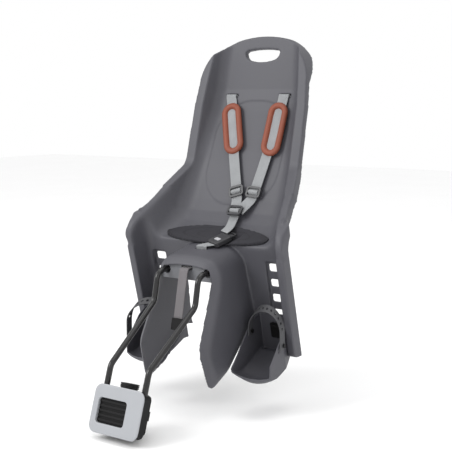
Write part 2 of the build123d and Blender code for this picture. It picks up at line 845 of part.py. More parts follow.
with BuildPart() as safety_pin:
    with BuildSketch(Plane.YZ):
        with Locations((panel_front + panel_thick + gap + safety_pin_radius + 0.1, strap_slot_level)):
            Circle(safety_pin_radius)
    extrude(amount=20, both=True)
save(safety_pin, "safety_pin")

safety_way = toward(safety_bend, safety_end)
safety_clip_top = along(safety_end, safety_way, gap)
safety_clip_plane = Plane(origin=(0, *safety_clip_top), x_dir=(1, 0, 0), z_dir=(0, *safety_way))
with BuildPart() as safety_clip:
    with BuildSketch(safety_clip_plane):
        RectangleRounded(strap_width + 4, 7, 3)
    extrude(amount=24)
    with BuildSketch(Plane.YZ):
        with Locations(along(safety_end, safety_way, 17)):
            Circle(2)
    extrude(amount=9, both=True, mode=Mode.SUBTRACT)
save(safety_clip, "safety_clip")

# footrests
foot_inner = 99.0
foot_outer = 186.0
foot_wall = 3.0
foot_low = 60.0
foot_high = 150.0
foot_clear = 0.5
foot_sole = (246.0, 18.0)
foot_toe = (216.0, 36.0)
foot_lip = (214.0, 48.0)
foot_side = (283.0, 130.0)
foot_floor = 8.0
foot_slant = 14.0
stud_radius = 2.5
latch_level = 117.0
latch_x = 146.0
strap_inner_y = 281.0
foot_strap_thick = 2.2
foot_strap_half = 8.0
left_strap_shape = (246.0, 106.0, 3.8)
right_strap_shape = (264.0, 126.0, 2.0)
left_stud = (250.0, 80.0)
right_stud = (268.0, 100.0)
inner_stud_level = 116.0


def wall_y(level, ahead):
    return channel_back + (channel_level - level) * channel_lean - ahead


wall_up = toward((wall_y(foot_low, 0), foot_low), (wall_y(foot_high, 0), foot_high))
wall_out = (-wall_up[1], wall_up[0])
foot_room = channel(-foot_clear, -foot_clear, 0)
foot_hollow = channel(-foot_clear - foot_wall, -foot_clear - foot_wall, 4)


def latch_plane(ahead):
    place = (wall_y(latch_level, 0), latch_level)
    return Plane(origin=(0, *along(place, wall_out, ahead)), x_dir=(1, 0, 0), z_dir=(0, *wall_out))


def footrest(side, outer_stud):
    with BuildPart() as hollow:
        with BuildSketch(Plane.YZ.offset(side * (foot_inner + foot_wall))):
            with BuildLine():
                Polyline((far_back, foot_high + 60), (far_back, foot_low + foot_floor),
                         (wall_y(foot_low, 20), foot_low + foot_floor), (foot_sole[0], foot_sole[1] + foot_floor),
                         (foot_toe[0] - 60, foot_toe[1] + foot_floor + 24),
                         (foot_toe[0] - 60, foot_high + 60), close=True)
            make_face()
            fillet(vertices().sort_by_distance(Vertex(foot_sole[0], foot_sole[1] + foot_floor, 0))[0], 30)
        extrude(amount=side * (foot_outer - foot_inner - 2 * foot_wall))
        add(foot_hollow, mode=Mode.INTERSECT)
    with BuildPart() as rest:
        with BuildSketch(Plane.YZ.offset(side * foot_inner)):
            with BuildLine():
                Polyline((far_back, foot_high), (far_back, foot_low),
                         (wall_y(foot_low, 20), foot_low), foot_sole, foot_toe, foot_lip, foot_side,
                         (wall_y(foot_high, 6), foot_high), close=True)
            make_face()
            fillet(vertices().sort_by_distance(Vertex(*foot_sole, 0))[0], 30)
            fillet(vertices().sort_by_distance(Vertex(*foot_side, 0))[0], 20)
        extrude(amount=side * (foot_outer - foot_inner))
        add(foot_room, mode=Mode.INTERSECT)
        add(hollow.part, mode=Mode.SUBTRACT)
        # slanted front
        with BuildSketch(Plane.XY):
            with BuildLine():
                Polyline((side * (foot_inner - 1), foot_lip[0]),
                         (side * (foot_outer + 1), foot_lip[0] + foot_slant),
                         (side * (foot_outer + 1), 100), (side * (foot_inner - 1), 100), close=True)
            make_face()
        extrude(amount=far_back, mode=Mode.SUBTRACT)
        # stud holes in both side walls, and spare ones in the outer wall
        with BuildSketch(Plane.YZ.offset(side * (foot_inner - 1))):
            with Locations((strap_inner_y, inner_stud_level)):
                Circle(stud_radius + 0.1)
        extrude(amount=side * (foot_wall + 2), mode=Mode.SUBTRACT)
        with BuildSketch(Plane.YZ.offset(side * (foot_outer - foot_wall - 2))):
            for step in range(-1, 2):
                with Locations((outer_stud[0] + step * 8, outer_stud[1] + step * 12)):
                    Circle(stud_radius + 0.1)
        extrude(amount=side * 10, mode=Mode.SUBTRACT)
        # window for the latch tongue
        with BuildSketch(latch_plane(foot_clear - 3)):
            with Locations((side * latch_x, 0)):
                Rectangle(17, 8)
        extrude(amount=20, mode=Mode.SUBTRACT)
    return rest.part


def strap_ends(side, shape):
    outer_y, level, spread = shape
    start = (side * (foot_inner + foot_wall + 0.4 + spread), strap_inner_y)
    end = (side * (foot_outer + 0.4 + spread + foot_strap_thick), outer_y)
    return start, end


def foot_strap(side, shape, outer_stud):
    start, end = strap_ends(side, shape)
    way = toward(start, end)
    radius = hypot(end[0] - start[0], end[1] - start[1]) / 2
    middle = along(start, way, radius)
    drop = shape[1] - inner_stud_level + 9
    arch_plane = Plane(origin=(*middle, shape[1]), x_dir=(*way, 0), z_dir=(way[1], -way[0], 0))
    with BuildPart() as strap:
        with BuildSketch(arch_plane):
            Circle(radius)
            Circle(radius - foot_strap_thick, mode=Mode.SUBTRACT)
            Rectangle(3 * radius, 3 * radius, align=(Align.CENTER, Align.MAX), mode=Mode.SUBTRACT)
            with Locations((-radius + foot_strap_thick / 2, 0.5)):
                Rectangle(foot_strap_thick, max(drop, 2) + 0.5, align=(Align.CENTER, Align.MAX))
            with Locations((radius - foot_strap_thick / 2, 0.5)):
                Rectangle(foot_strap_thick, shape[1] - outer_stud[1] + 8, align=(Align.CENTER, Align.MAX))
        extrude(amount=foot_strap_half, both=True)
        with BuildSketch(Plane.YZ):
            with Locations((strap_inner_y, inner_stud_level)):
                Circle(stud_radius + 0.1)
        extrude(amount=side * (foot_inner + 30), mode=Mode.SUBTRACT)
        with BuildSketch(Plane.YZ.offset(side * (foot_outer - 6))):
            with Locations(outer_stud):
                Circle(stud_radius + 0.1)
        extrude(amount=side * 40, mode=Mode.SUBTRACT)
        for step in range(7):
            angle = radians(24 + 22 * step)
            out = (way[0] * cos(angle), way[1] * cos(angle), sin(angle))
            crown = Plane(origin=(*middle, shape[1]), x_dir=(way[1], -way[0], 0), z_dir=out)
            with BuildSketch(crown):
                SlotOverall(8, 4, rotation=0)
            extrude(amount=radius + 5, mode=Mode.SUBTRACT)
    return strap.part


def foot_studs(side, shape, outer_stud):
    start, end = strap_ends(side, shape)
    inner_run = (foot_inner - gap, abs(start[0]) + foot_strap_thick + shape[2] + gap)
    outer_run = (foot_outer - foot_wall - gap, abs(end[0]) + shape[2] + gap)
    with BuildPart() as studs:
        for run, place in ((inner_run, (strap_inner_y, inner_stud_level)), (outer_run, outer_stud)):
            for x, thick in ((run[0], -1.6), (run[1], 1.6)):
                with BuildSketch(Plane.YZ.offset(side * x)):
                    with Locations(place):
                        Circle(4.4)
                extrude(amount=side * thick)
            with BuildSketch(Plane.YZ.offset(side * run[0])):
                with Locations(place):
                    Circle(stud_radius)
            extrude(amount=side * (run[1] - run[0]))
    return studs.part


def footrest_latch(side):
    with BuildPart() as latch:
        with BuildSketch(latch_plane(foot_clear + foot_wall + gap)):
            with Locations((side * (latch_x - 6), -3)):
                RectangleRounded(26, 34, 4)
        extrude(amount=3.5)
        with BuildSketch(latch_plane(foot_clear + foot_wall + gap + 1)):
            with Locations((side * latch_x, 0)):
                Rectangle(16, 7)
        extrude(amount=-foot_wall - gap - 1)
        with BuildSketch(latch_plane(foot_clear + foot_wall + gap + 3)):
            with Locations((side * (latch_x - 6), 9)):
                RectangleRounded(20, 6, 2)
        extrude(amount=5)
    return latch.part


with BuildPart() as footrest_left:
    add(footrest(-1, left_stud))
save(footrest_left, "footrest_left")
with BuildPart() as footrest_right:
    add(footrest(1, right_stud))
save(footrest_right, "footrest_right")
with BuildPart() as foot_strap_left:
    add(foot_strap(-1, left_strap_shape, left_stud))
save(foot_strap_left, "foot_strap_left")
with BuildPart() as foot_strap_right:
    add(foot_strap(1, right_strap_shape, right_stud))
save(foot_strap_right, "foot_strap_right")
with BuildPart() as foot_studs_left:
    add(foot_studs(-1, left_strap_shape, left_stud))
save(foot_studs_left, "foot_studs_left")
with BuildPart() as foot_studs_right:
    add(foot_studs(1, right_strap_shape, right_stud))
save(foot_studs_right, "foot_studs_right")
with BuildPart() as foot_latch_left:
    add(footrest_latch(-1))
save(foot_latch_left, "foot_latch_left")
with BuildPart() as foot_latch_right:
    add(footrest_latch(1))
save(foot_latch_right, "foot_latch_right")


# seat tube block, built square to the tube
def block_plane(forward):
    return Plane(origin=(0, *along((0, 0), tube_front, forward)), x_dir=(1, 0, 0), z_dir=(0, *tube_front))


def tube_plane(height):
    return Plane(origin=(0, *along((0, 0), tube_up, height)), x_dir=(1, 0, 0), z_dir=(0, *tube_up))


liner_low = -block_half[1]
liner_high = block_half[1] + liner_rise
liner_outer = tube_radius + liner_thick


def liner(side):
    with BuildPart() as half:
        with BuildSketch(tube_plane(liner_low)):
            Circle(liner_outer)
        extrude(amount=liner_high - liner_low)
        for low, high in ((0.3, 2.6), (3.4, 5.6), (6.4, 9.0)):
            with BuildSketch(tube_plane(block_half[1] + low)):
                Circle(collar_radius)
            extrude(amount=high - low)
        with BuildSketch(tube_plane(liner_low - 1)):
            Circle(tube_radius)
        extrude(amount=liner_high - liner_low + 2, mode=Mode.SUBTRACT)
        with BuildSketch(tube_plane(liner_low - 1)):
            with Locations((0, side * jaw_split / 2)):
                Rectangle(60, 60, align=(Align.CENTER, Align.MIN if side < 0 else Align.MAX))
        extrude(amount=liner_high - liner_low + 2, mode=Mode.SUBTRACT)
    return half.part


with BuildPart() as liner_front:
    add(liner(-1))
save(liner_front, "liner_front")
with BuildPart() as liner_rear:
    add(liner(1))
save(liner_rear, "liner_rear")

with BuildPart() as block_cover:
    with BuildSketch(block_plane(cover_front - cover_thick)):
        RectangleRounded(2 * block_half[0], 2 * block_half[1], block_corner)
    extrude(amount=cover_thick)
    fillet(block_cover.faces().sort_by(Axis((0, 0, 0), (0, *tube_front)))[-1].edges(), 1.5)
    with BuildSketch(block_plane(cover_front - cover_thick)):
        with Locations(window_place):
            RectangleRounded(window[0] + 2 * frame_wall, window[1] + 2 * frame_wall,
                             window_corner + frame_wall)
    extrude(amount=cover_thick - frame_depth)
    with BuildSketch(block_plane(0)):
        with Locations(window_place):
            RectangleRounded(*window, window_corner)
    extrude(amount=2 * cover_front, mode=Mode.SUBTRACT)
save(block_cover, "block_cover")

with BuildPart() as block_grille:
    with BuildSketch(block_plane(pocket_floor + gap)):
        with Locations(window_place):
            RectangleRounded(window[0] - 2 * gap, window[1] - 2 * gap, window_corner - gap)
    extrude(amount=1.2)
    with BuildSketch(block_plane(pocket_floor + gap + 1)):
        for step in range(5):
            with Locations((window_place[0], window_place[1] + (step - 2) * 9)):
                Rectangle(window[0] - 2 * gap - 2, 4.2)
    extrude(amount=3.2)
save(block_grille, "block_grille")


def fork_side(side, spread, travel):
    with BuildPart() as arm:
        with BuildSketch(tube_plane(-fork_half - spread)):
            with Locations((side * 27, 20 - travel / 2)):
                Rectangle(6 + 2 * spread, 38 + travel + 2 * spread)
            with Locations((side * 32.35, 3.5 - travel / 2)):
                Rectangle(16.7 + 2 * spread, 5 + travel + 2 * spread)
            with Locations((side * 38.85, -1.5 - travel / 2)):
                Rectangle(3.7 + 2 * spread, 13 + travel + 2 * spread)
        extrude(amount=2 * fork_half + 2 * spread)
    return arm.part


fork_room_right = fork_side(1, 0.4, button_travel)
fork_room_left = fork_side(-1, 0.4, button_travel)
with BuildPart() as liner_room:
    with BuildSketch(tube_plane(liner_low - 1)):
        Circle(liner_outer + 0.1)
    extrude(amount=2 * block_half[1] + 2)

with BuildPart() as screw_room:
    with BuildSketch(block_plane(hump_back - 1)):
        with GridLocations(2 * screw_place[0], 2 * screw_place[1], 2, 2):
            Circle(screw_radius + 0.2)
    extrude(amount=-hump_back + 1 + pocket_floor)

with BuildPart() as block_body:
    with BuildSketch(block_plane(body_back)):
        RectangleRounded(2 * block_half[0] - 2 * cover_inset, 2 * block_half[1] - 2 * cover_inset,
                         block_corner - cover_inset)
    extrude(amount=body_front - body_back)
    with BuildSketch(block_plane(body_step)):
        RectangleRounded(2 * step_half[0], 2 * step_half[1], 12)
    extrude(amount=body_back - body_step + 1)
    with BuildSketch(block_plane(hump_back)):
        RectangleRounded(2 * hump_half[0], 2 * hump_half[1], 10)
    extrude(amount=body_step - hump_back + 1)
    with BuildSketch(block_plane(-jaw_split)):
        Rectangle(2 * jaw_half + 2 * gap, 4 * block_half[1])
    extrude(amount=2 * cover_front, mode=Mode.SUBTRACT)
    with BuildSketch(block_plane(pocket_floor)):
        with Locations(window_place):
            RectangleRounded(window[0] + 2 * frame_wall + 2 * gap, window[1] + 2 * frame_wall + 2 * gap,
                             window_corner + frame_wall + gap)
    extrude(amount=cover_front, mode=Mode.SUBTRACT)
    with BuildSketch(tube_plane(-rod_sink - 1)):
        with Locations((-rod_x, -rod_forward), (rod_x, -rod_forward)):
            Circle(rod_radius + rod_fit)
    extrude(amount=4 * block_half[1], mode=Mode.SUBTRACT)
    add(liner_room.part, mode=Mode.SUBTRACT)
    add(screw_room.part, mode=Mode.SUBTRACT)
    add(fork_room_right, mode=Mode.SUBTRACT)
    add(fork_room_left, mode=Mode.SUBTRACT)
save(block_body, "block_body")

with BuildPart() as block_jaw:
    with BuildSketch(block_plane(jaw_split)):
        Rectangle(2 * jaw_half, 2 * block_half[1] - 2 * cover_inset - 1)
    extrude(amount=pocket_floor - jaw_split - gap)
    add(liner_room.part, mode=Mode.SUBTRACT)
    add(screw_room.part, mode=Mode.SUBTRACT)
    add(fork_room_right, mode=Mode.SUBTRACT)
    add(fork_room_left, mode=Mode.SUBTRACT)
    with BuildSketch(block_plane(pocket_floor - 4.6)):
        with GridLocations(2 * screw_place[0], 2 * screw_place[1], 2, 2):
            RegularPolygon(5, 6)
    extrude(amount=10, mode=Mode.SUBTRACT)
save(block_jaw, "block_jaw")

with BuildPart() as block_screws:
    with BuildSketch(block_plane(hump_back - gap)):
        with GridLocations(2 * screw_place[0], 2 * screw_place[1], 2, 2):
            Circle(4.5)
    extrude(amount=-3)
    with BuildSketch(block_plane(hump_back - gap)):
        with GridLocations(2 * screw_place[0], 2 * screw_place[1], 2, 2):
            Circle(screw_radius)
    extrude(amount=pocket_floor - hump_back - 0.6)
save(block_screws, "block_screws")

with BuildPart() as block_nuts:
    with BuildSketch(block_plane(pocket_floor - 4.3)):
        with GridLocations(2 * screw_place[0], 2 * screw_place[1], 2, 2):
            RegularPolygon(4.6, 6)
        with GridLocations(2 * screw_place[0], 2 * screw_place[1], 2, 2):
            Circle(screw_radius + rod_fit, mode=Mode.SUBTRACT)
    extrude(amount=3.8)
save(block_nuts, "block_nuts")

with BuildPart() as release_button:
    add(fork_side(1, 0, 0))
    add(fork_side(-1, 0, 0))
    with BuildSketch(tube_plane(-9)):
        with Locations((0, -hump_back + button_travel + gap + 4)):
            RectangleRounded(60, 8, 3)
    extrude(amount=18)
save(release_button, "release_button")
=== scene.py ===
from math import atan2, cos, hypot, pi, radians, sin, tan

import bpy
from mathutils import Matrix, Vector
from mathutils.bvhtree import BVHTree
from mathutils.kdtree import KDTree


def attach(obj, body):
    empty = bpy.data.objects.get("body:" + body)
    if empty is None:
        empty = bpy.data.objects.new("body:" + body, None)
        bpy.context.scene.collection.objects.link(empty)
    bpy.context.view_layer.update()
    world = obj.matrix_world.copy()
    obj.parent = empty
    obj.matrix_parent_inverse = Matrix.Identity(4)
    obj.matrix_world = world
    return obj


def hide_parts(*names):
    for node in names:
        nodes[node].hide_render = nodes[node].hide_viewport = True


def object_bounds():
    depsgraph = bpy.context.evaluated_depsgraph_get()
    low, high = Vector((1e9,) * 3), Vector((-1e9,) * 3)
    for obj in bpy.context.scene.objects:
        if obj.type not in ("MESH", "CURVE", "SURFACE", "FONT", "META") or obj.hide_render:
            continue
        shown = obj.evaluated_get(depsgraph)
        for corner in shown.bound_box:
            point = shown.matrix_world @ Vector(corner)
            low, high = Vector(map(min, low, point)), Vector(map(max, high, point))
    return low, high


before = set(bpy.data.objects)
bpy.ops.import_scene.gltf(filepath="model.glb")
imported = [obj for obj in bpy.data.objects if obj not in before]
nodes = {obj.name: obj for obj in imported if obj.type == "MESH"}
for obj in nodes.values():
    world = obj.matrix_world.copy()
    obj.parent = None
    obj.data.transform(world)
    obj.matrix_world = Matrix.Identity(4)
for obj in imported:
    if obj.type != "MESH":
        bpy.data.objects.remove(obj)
cad_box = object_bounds()
# Blender works in metres; lengths in millimetres are multiplied by mm where they are used
mm = 0.001

# lines of the sitting surface, in millimetres as y and z
pan_front = Vector((186.0, 270.0))
pan_corner = Vector((346.4, 301.3))
back_bend = Vector((474.0, 588.0))
bowl_radius = 150.0
pan_way = (pan_corner - pan_front).normalized()
back_way = (back_bend - pan_corner).normalized()
pan_up = Vector((-pan_way.y, pan_way.x))
back_out = Vector((-back_way.y, back_way.x))
bowl_turn = atan2(back_way.y, back_way.x) - atan2(pan_way.y, pan_way.x)
bowl_reach = bowl_radius * tan(bowl_turn / 2)
pan_end = pan_corner - pan_way * bowl_reach
back_start = pan_corner + back_way * bowl_reach


def on_back(x, s, h):
    """A place x across, s up the back and h out from it."""
    yz = back_start + back_way * s + back_out * h
    return Vector((x, yz.x, yz.y)) * mm


def on_pan(x, y, h):
    """A place x across, on the pan's line at y and h out from it."""
    yz = pan_end + pan_way * ((y - pan_end.x) / pan_way.x) + pan_up * h
    return Vector((x, yz.x, yz.y)) * mm


def in_space(yz):
    """A direction in the seat's middle plane, from its y and z."""
    return Vector((0, yz.x, yz.y))


# the seat pad's oval, and how far the pan is flat on each side, in millimetres
pad_half = (131.0, 30.0)
pad_middle = 308.0
pad_thick = 5.0
pan_flat = 120.0


# ---------------------------------------------------------------- shader maths

class Wire:
    """One output of a finish's nodes; arithmetic on it adds Math nodes."""

    def __init__(self, finish, socket):
        self.finish = finish
        self.socket = socket

    def maths(self, kind, first, second):
        return self.finish.node("Math", {"operation": kind}, {0: first, 1: second})

    def __add__(self, other):
        return self.maths("ADD", self, other)

    def __radd__(self, other):
        return self.maths("ADD", other, self)

    def __sub__(self, other):
        return self.maths("SUBTRACT", self, other)

    def __rsub__(self, other):
        return self.maths("SUBTRACT", other, self)

    def __mul__(self, other):
        return self.maths("MULTIPLY", self, other)

    def __rmul__(self, other):
        return self.maths("MULTIPLY", other, self)

    def __truediv__(self, other):
        return self.maths("DIVIDE", self, other)

    def __pow__(self, other):
        return self.maths("POWER", self, other)

    def __gt__(self, other):
        return self.maths("GREATER_THAN", self, other)

    def __lt__(self, other):
        return self.maths("LESS_THAN", self, other)


class Finish:
    """One material and the nodes that make it."""

    def __init__(self, name):
        self.material = bpy.data.materials.new(name)
        self.material.use_nodes = True
        self.tree = self.material.node_tree
        self.shader = self.tree.nodes["Principled BSDF"]

    def link(self, socket, value):
        if isinstance(value, Wire):
            self.tree.links.new(value.socket, socket)
        else:
            socket.default_value = value

    def node(self, kind, settings=None, sockets=None, out=0):
        made = self.tree.nodes.new("ShaderNode" + kind)
        for key, value in (settings or {}).items():
            setattr(made, key, value)
        for key, value in (sockets or {}).items():
            self.link(made.inputs[key], value)
        return Wire(self, made.outputs[out])

    def set(self, **values):
        for key, value in values.items():
            self.link(self.shader.inputs[key.replace("_", " ")], value)

    def place(self):
        return self.node("TexCoord", out="Object")

    def cloth_place(self):
        return self.node("UVMap", {"uv_map": "along"})

    def x_and_y(self, place):
        x = self.node("SeparateXYZ", None, {"Vector": place})
        return x, Wire(self, x.socket.node.outputs["Y"])

    def noise(self, place, scale, detail=2.0):
        sockets = {"Vector": place, "Scale": scale, "Detail": detail}
        return self.node("TexNoise", None, sockets)

    def wave(self, number):
        return self.node("Math", {"operation": "SINE"}, {0: number})

    def between(self, share, low, high):
        sockets = {"Value": share, "To Min": low, "To Max": high}
        return self.node("MapRange", {"clamp": True}, sockets)

    def blend(self, share, first, second):
        sockets = {"Factor": share, "A": (*first, 1.0), "B": (*second, 1.0)}
        return self.node("Mix", {"data_type": "RGBA"}, sockets, "Result")

    def bump(self, height, depth, edge=None):
        sockets = {"Height": height, "Distance": depth}
        if edge:
            sockets["Normal"] = self.node("Bevel", {"samples": 4}, {"Radius": edge})
        return self.node("Bump", None, sockets)


noise_middle = 0.5


def moulded(name, dark, light, rough=(0.48, 0.6), grain=0.00006, edge=0.0008, shine=0.5):
    """Moulded plastic with a fine spark-eroded grain, and a painted highlight that makes it paler
    along its convex edges.
    """
    base, cloud_part, speck_part, speck_rough = 0.4, 0.9, 0.25, 0.4
    # the painted edge highlight: where it starts, how fast it grows, and its most
    highlight_from, highlight_gain, highlight_most = 0.5, 9.0, 0.35
    finish = Finish(name)
    place = finish.place()
    cloud = finish.noise(place, scale=14.0, detail=3.0)
    speck = finish.noise(place, scale=1400.0)
    # painted highlight: the colour is made paler where the edges are sharp and convex
    painted_edge_highlight = finish.node("NewGeometry", out="Pointiness")
    painted_edge_highlight = finish.between((painted_edge_highlight - highlight_from) * highlight_gain, 0.0, highlight_most)
    share = (cloud - noise_middle) * cloud_part + base + painted_edge_highlight + (speck - noise_middle) * speck_part
    finish.set(Base_Color=finish.blend(share, dark, light))
    finish.set(Roughness=finish.between(cloud + (speck - noise_middle) * speck_rough, *rough))
    finish.set(Normal=finish.bump(speck, grain, edge), Specular_IOR_Level=shine)
    return finish.material


def woven(name, dark, light):
    """Flat webbing: ribs of weft across it, crossed by warp."""
    pitch = 1.1 * mm
    threads = 2 * pi / pitch
    weft_part, warp_part, fibre_part = 0.35, 0.2, 0.4
    base, weave_part, cloud_part = 0.35, 0.45, 0.5
    weave_depth, rough = 0.00025, (0.7, 0.9)
    finish = Finish(name)
    across, along = finish.x_and_y(finish.cloth_place())
    warp = finish.wave(across * threads)
    weft = finish.wave(along * threads + (warp > 0.0) * pi)
    fibre = finish.noise(finish.place(), scale=900.0, detail=3.0)
    height = weft * weft_part + warp * warp_part + fibre * fibre_part
    cloud = finish.noise(finish.place(), scale=30.0)
    share = height * weave_part + base + (cloud - noise_middle) * cloud_part
    finish.set(Base_Color=finish.blend(share, dark, light))
    finish.set(Roughness=finish.between(fibre, *rough))
    finish.set(Normal=finish.bump(height, weave_depth), Sheen_Weight=0.15)
    return finish.material


def padding(name, dark, light):
    """Close-knitted cover of the seat pad, with sewn lines that follow its outline."""
    line_turns, line_from, plain_half, line_end = 22.0, 0.93, 0.018, 0.86
    edge_start, edge_gain = 0.9, 20.0
    base, cell_part, cloud_part, line_part, edge_part = 0.15, 0.6, 0.6, 0.8, 0.5
    cell_height, line_height, knit_depth = 0.3, 0.7, 0.0006
    rough = (0.75, 0.92)
    finish = Finish(name)
    place = finish.place()
    x, y = finish.x_and_y(place)
    side = finish.node("Math", {"operation": "ABSOLUTE"}, {0: x})
    across = side / (pad_half[0] * mm)
    fore = (y - pad_middle * mm) / (pad_half[1] * mm)
    reach = (across ** 2 + fore ** 2) ** 0.5
    line = finish.wave(reach * line_turns) > line_from
    line = line * (side > plain_half) * (reach < line_end)
    edge = finish.between((reach - edge_start) * edge_gain, 0.0, 1.0)
    cells = finish.node("TexVoronoi", None, {"Vector": place, "Scale": 620.0})
    cloud = finish.noise(place, scale=40.0, detail=3.0)
    share = cells * cell_part + (cloud - noise_middle) * cloud_part + base
    share = share - line * line_part - edge * edge_part
    finish.set(Base_Color=finish.blend(share, dark, light))
    finish.set(Roughness=finish.between(cloud, *rough), Sheen_Weight=0.04)
    finish.set(Normal=finish.bump(cells * cell_height - line * line_height, knit_depth))
    return finish.material


def enamel(name, dark, light):
    """Baked black enamel on steel, with a slight orange peel."""
    peel_depth, rough = 0.00003, (0.2, 0.32)
    finish = Finish(name)
    place = finish.place()
    peel = finish.noise(place, scale=260.0)
    cloud = finish.noise(place, scale=25.0, detail=3.0)
    finish.set(Base_Color=finish.blend(cloud, dark, light))
    finish.set(Roughness=finish.between(cloud, *rough))
    finish.set(Normal=finish.bump(peel, peel_depth), Specular_IOR_Level=0.55)
    return finish.material


def steel(name, dark, light):
    """Zinc-plated steel."""
    plate_depth, plate_edge, rough = 0.00002, 0.0004, (0.28, 0.46)
    finish = Finish(name)
    cloud = finish.noise(finish.place(), scale=320.0, detail=4.0)
    finish.set(Base_Color=finish.blend(cloud, dark, light), Metallic=1.0)
    finish.set(Roughness=finish.between(cloud, *rough))
    finish.set(Normal=finish.bump(cloud, plate_depth, plate_edge))
    return finish.material


shell_plastic = moulded("shell_plastic", (0.053, 0.0525, 0.0625), (0.077, 0.0765, 0.089),
                        rough=(0.46, 0.6), edge=None)
panel_plastic = moulded("panel_plastic", (0.115, 0.118, 0.128), (0.145, 0.148, 0.16))
cover_plastic = moulded("cover_plastic", (0.31, 0.32, 0.34), (0.36, 0.37, 0.39),
                        rough=(0.34, 0.44), edge=None)
fitting_black = moulded("fitting_black", (0.005, 0.005, 0.005), (0.011, 0.0105, 0.011),
                        rough=(0.45, 0.6), shine=0.16)
buckle_grey = moulded("buckle_grey", (0.02, 0.02, 0.022), (0.038, 0.038, 0.042),
                      rough=(0.36, 0.5))
button_pale = moulded("button_pale", (0.36, 0.36, 0.38), (0.44, 0.44, 0.46),
                      rough=(0.34, 0.45))
strap_rubber = moulded("strap_rubber", (0.04, 0.04, 0.044), (0.065, 0.065, 0.07),
                       rough=(0.5, 0.66), edge=None)
liner_rubber = moulded("liner_rubber", (0.008, 0.008, 0.009), (0.016, 0.016, 0.017),
                       rough=(0.55, 0.75), shine=0.3)
ring_foam = moulded("ring_foam", (0.17, 0.037, 0.015), (0.245, 0.056, 0.024),
                    rough=(0.5, 0.66), grain=0.00012, edge=None)
webbing_grey = woven("webbing_grey", (0.215, 0.222, 0.23), (0.35, 0.36, 0.37))
webbing_dark = woven("webbing_dark", (0.115, 0.106, 0.112), (0.2, 0.187, 0.194))
pad_cloth = padding("pad_cloth", (0.007, 0.0065, 0.0105), (0.02, 0.0192, 0.0265))
rod_enamel = enamel("rod_enamel", (0.004, 0.0038, 0.0042), (0.009, 0.0085, 0.009))
screw_zinc = steel("screw_zinc", (0.36, 0.36, 0.37), (0.5, 0.5, 0.5))

# finishes of the solids that stay visible; the others are black fittings
node_finish = {
    "rod_guide": panel_plastic,
    "buckle_body": buckle_grey,
    "buckle_tongue": buckle_grey,
    "strap_adjusters": buckle_grey,
    "lower_adjuster": buckle_grey,
    "buckle_button": button_pale,
    "carrier_rod": rod_enamel,
    "liner_front": liner_rubber,
    "liner_rear": liner_rubber,
    "clamp_bolts": screw_zinc,
    "clamp_nuts": screw_zinc,
    "pan_screws": screw_zinc,
    "block_screws": screw_zinc,
    "block_nuts": screw_zinc,
    "safety_pin": screw_zinc,
}
for name, solid in nodes.items():
    solid.data.materials.clear()
    solid.data.materials.append(node_finish.get(name, fitting_black))


# ---------------------------------------------------------------- handwork

merge_gap = 0.00001
near_enough = 0.0001
# a strip one unit wide has its middle column within this of its middle
middle_column = 0.1
# a band's bevel, as a share of its thickness
bevel_share = 0.28
# the most triangles of a small moulding
small_most = 60000


def start():
    """Leaves edit mode, with nothing selected."""
    if bpy.context.object and bpy.context.object.mode != "OBJECT":
        bpy.ops.object.mode_set(mode="OBJECT")
    bpy.ops.object.select_all(action="DESELECT")


def pick(piece):
    """Selects one piece alone."""
    start()
    piece.select_set(True)
    bpy.context.view_layer.objects.active = piece


def choose(piece, test):
    """Opens a piece for editing with the points that pass the test selected."""
    pick(piece)
    bpy.ops.object.mode_set(mode="EDIT")
    bpy.ops.mesh.select_all(action="DESELECT")
    bpy.ops.object.mode_set(mode="OBJECT")
    for vertex in piece.data.vertices:
        vertex.select = test(vertex.co)
    bpy.ops.object.mode_set(mode="EDIT")


def choose_all(piece):
    choose(piece, lambda spot: True)


def face_out(piece):
    """Turns all the faces of a piece outward."""
    choose_all(piece)
    bpy.ops.mesh.normals_make_consistent(inside=False)
    bpy.ops.object.mode_set(mode="OBJECT")


def open_faces(piece, test):
    """Deletes the faces whose middles pass the test."""
    pick(piece)
    bpy.ops.object.mode_set(mode="EDIT")
    bpy.ops.mesh.select_mode(type="FACE")
    bpy.ops.mesh.select_all(action="DESELECT")
    bpy.ops.object.mode_set(mode="OBJECT")
    for face in piece.data.polygons:
        face.select = test(face.center)
    bpy.ops.object.mode_set(mode="EDIT")
    bpy.ops.mesh.delete(type="FACE")
    bpy.ops.mesh.select_mode(type="VERT")
    bpy.ops.object.mode_set(mode="OBJECT")


def extrude(way):
    """Draws what is selected out along a way."""
    bpy.ops.mesh.extrude_region_move(TRANSFORM_OT_translate={"value": way})


def modify(piece, kind, **settings):
    """Adds one modifier and applies it."""
    pick(piece)
    modifier = piece.modifiers.new(kind.lower(), kind)
    for key, value in settings.items():
        setattr(modifier, key, value)
    bpy.ops.object.modifier_apply(modifier=modifier.name)


def smooth(piece, rounds, **settings):
    modify(piece, "SMOOTH", factor=0.5, iterations=rounds, **settings)


def copy_of(node, name):
    """A new piece with a solid's shape, its loose triangles merged."""
    start()
    piece = bpy.data.objects.new(name, nodes[node].data.copy())
    bpy.context.scene.collection.objects.link(piece)
    pick(piece)
    bpy.ops.mesh.customdata_custom_splitnormals_clear()
    bpy.ops.object.mode_set(mode="EDIT")
    bpy.ops.mesh.select_all(action="SELECT")
    bpy.ops.mesh.remove_doubles(threshold=merge_gap)
    bpy.ops.object.mode_set(mode="OBJECT")
    return piece


def join(piece, *others):
    """Makes the others part of a piece."""
    pick(piece)
    for other in others:
        other.select_set(True)
    bpy.ops.object.join()


def dress(piece, body, finish, slot, *replaced):
    """Gives a piece its finish, the body it rides on and the solids it stands for."""
    piece.data.materials.clear()
    piece.data.materials.append(finish)
    pick(piece)
    bpy.ops.object.shade_smooth()
    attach(piece, body)
    if replaced:
        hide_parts(*replaced)


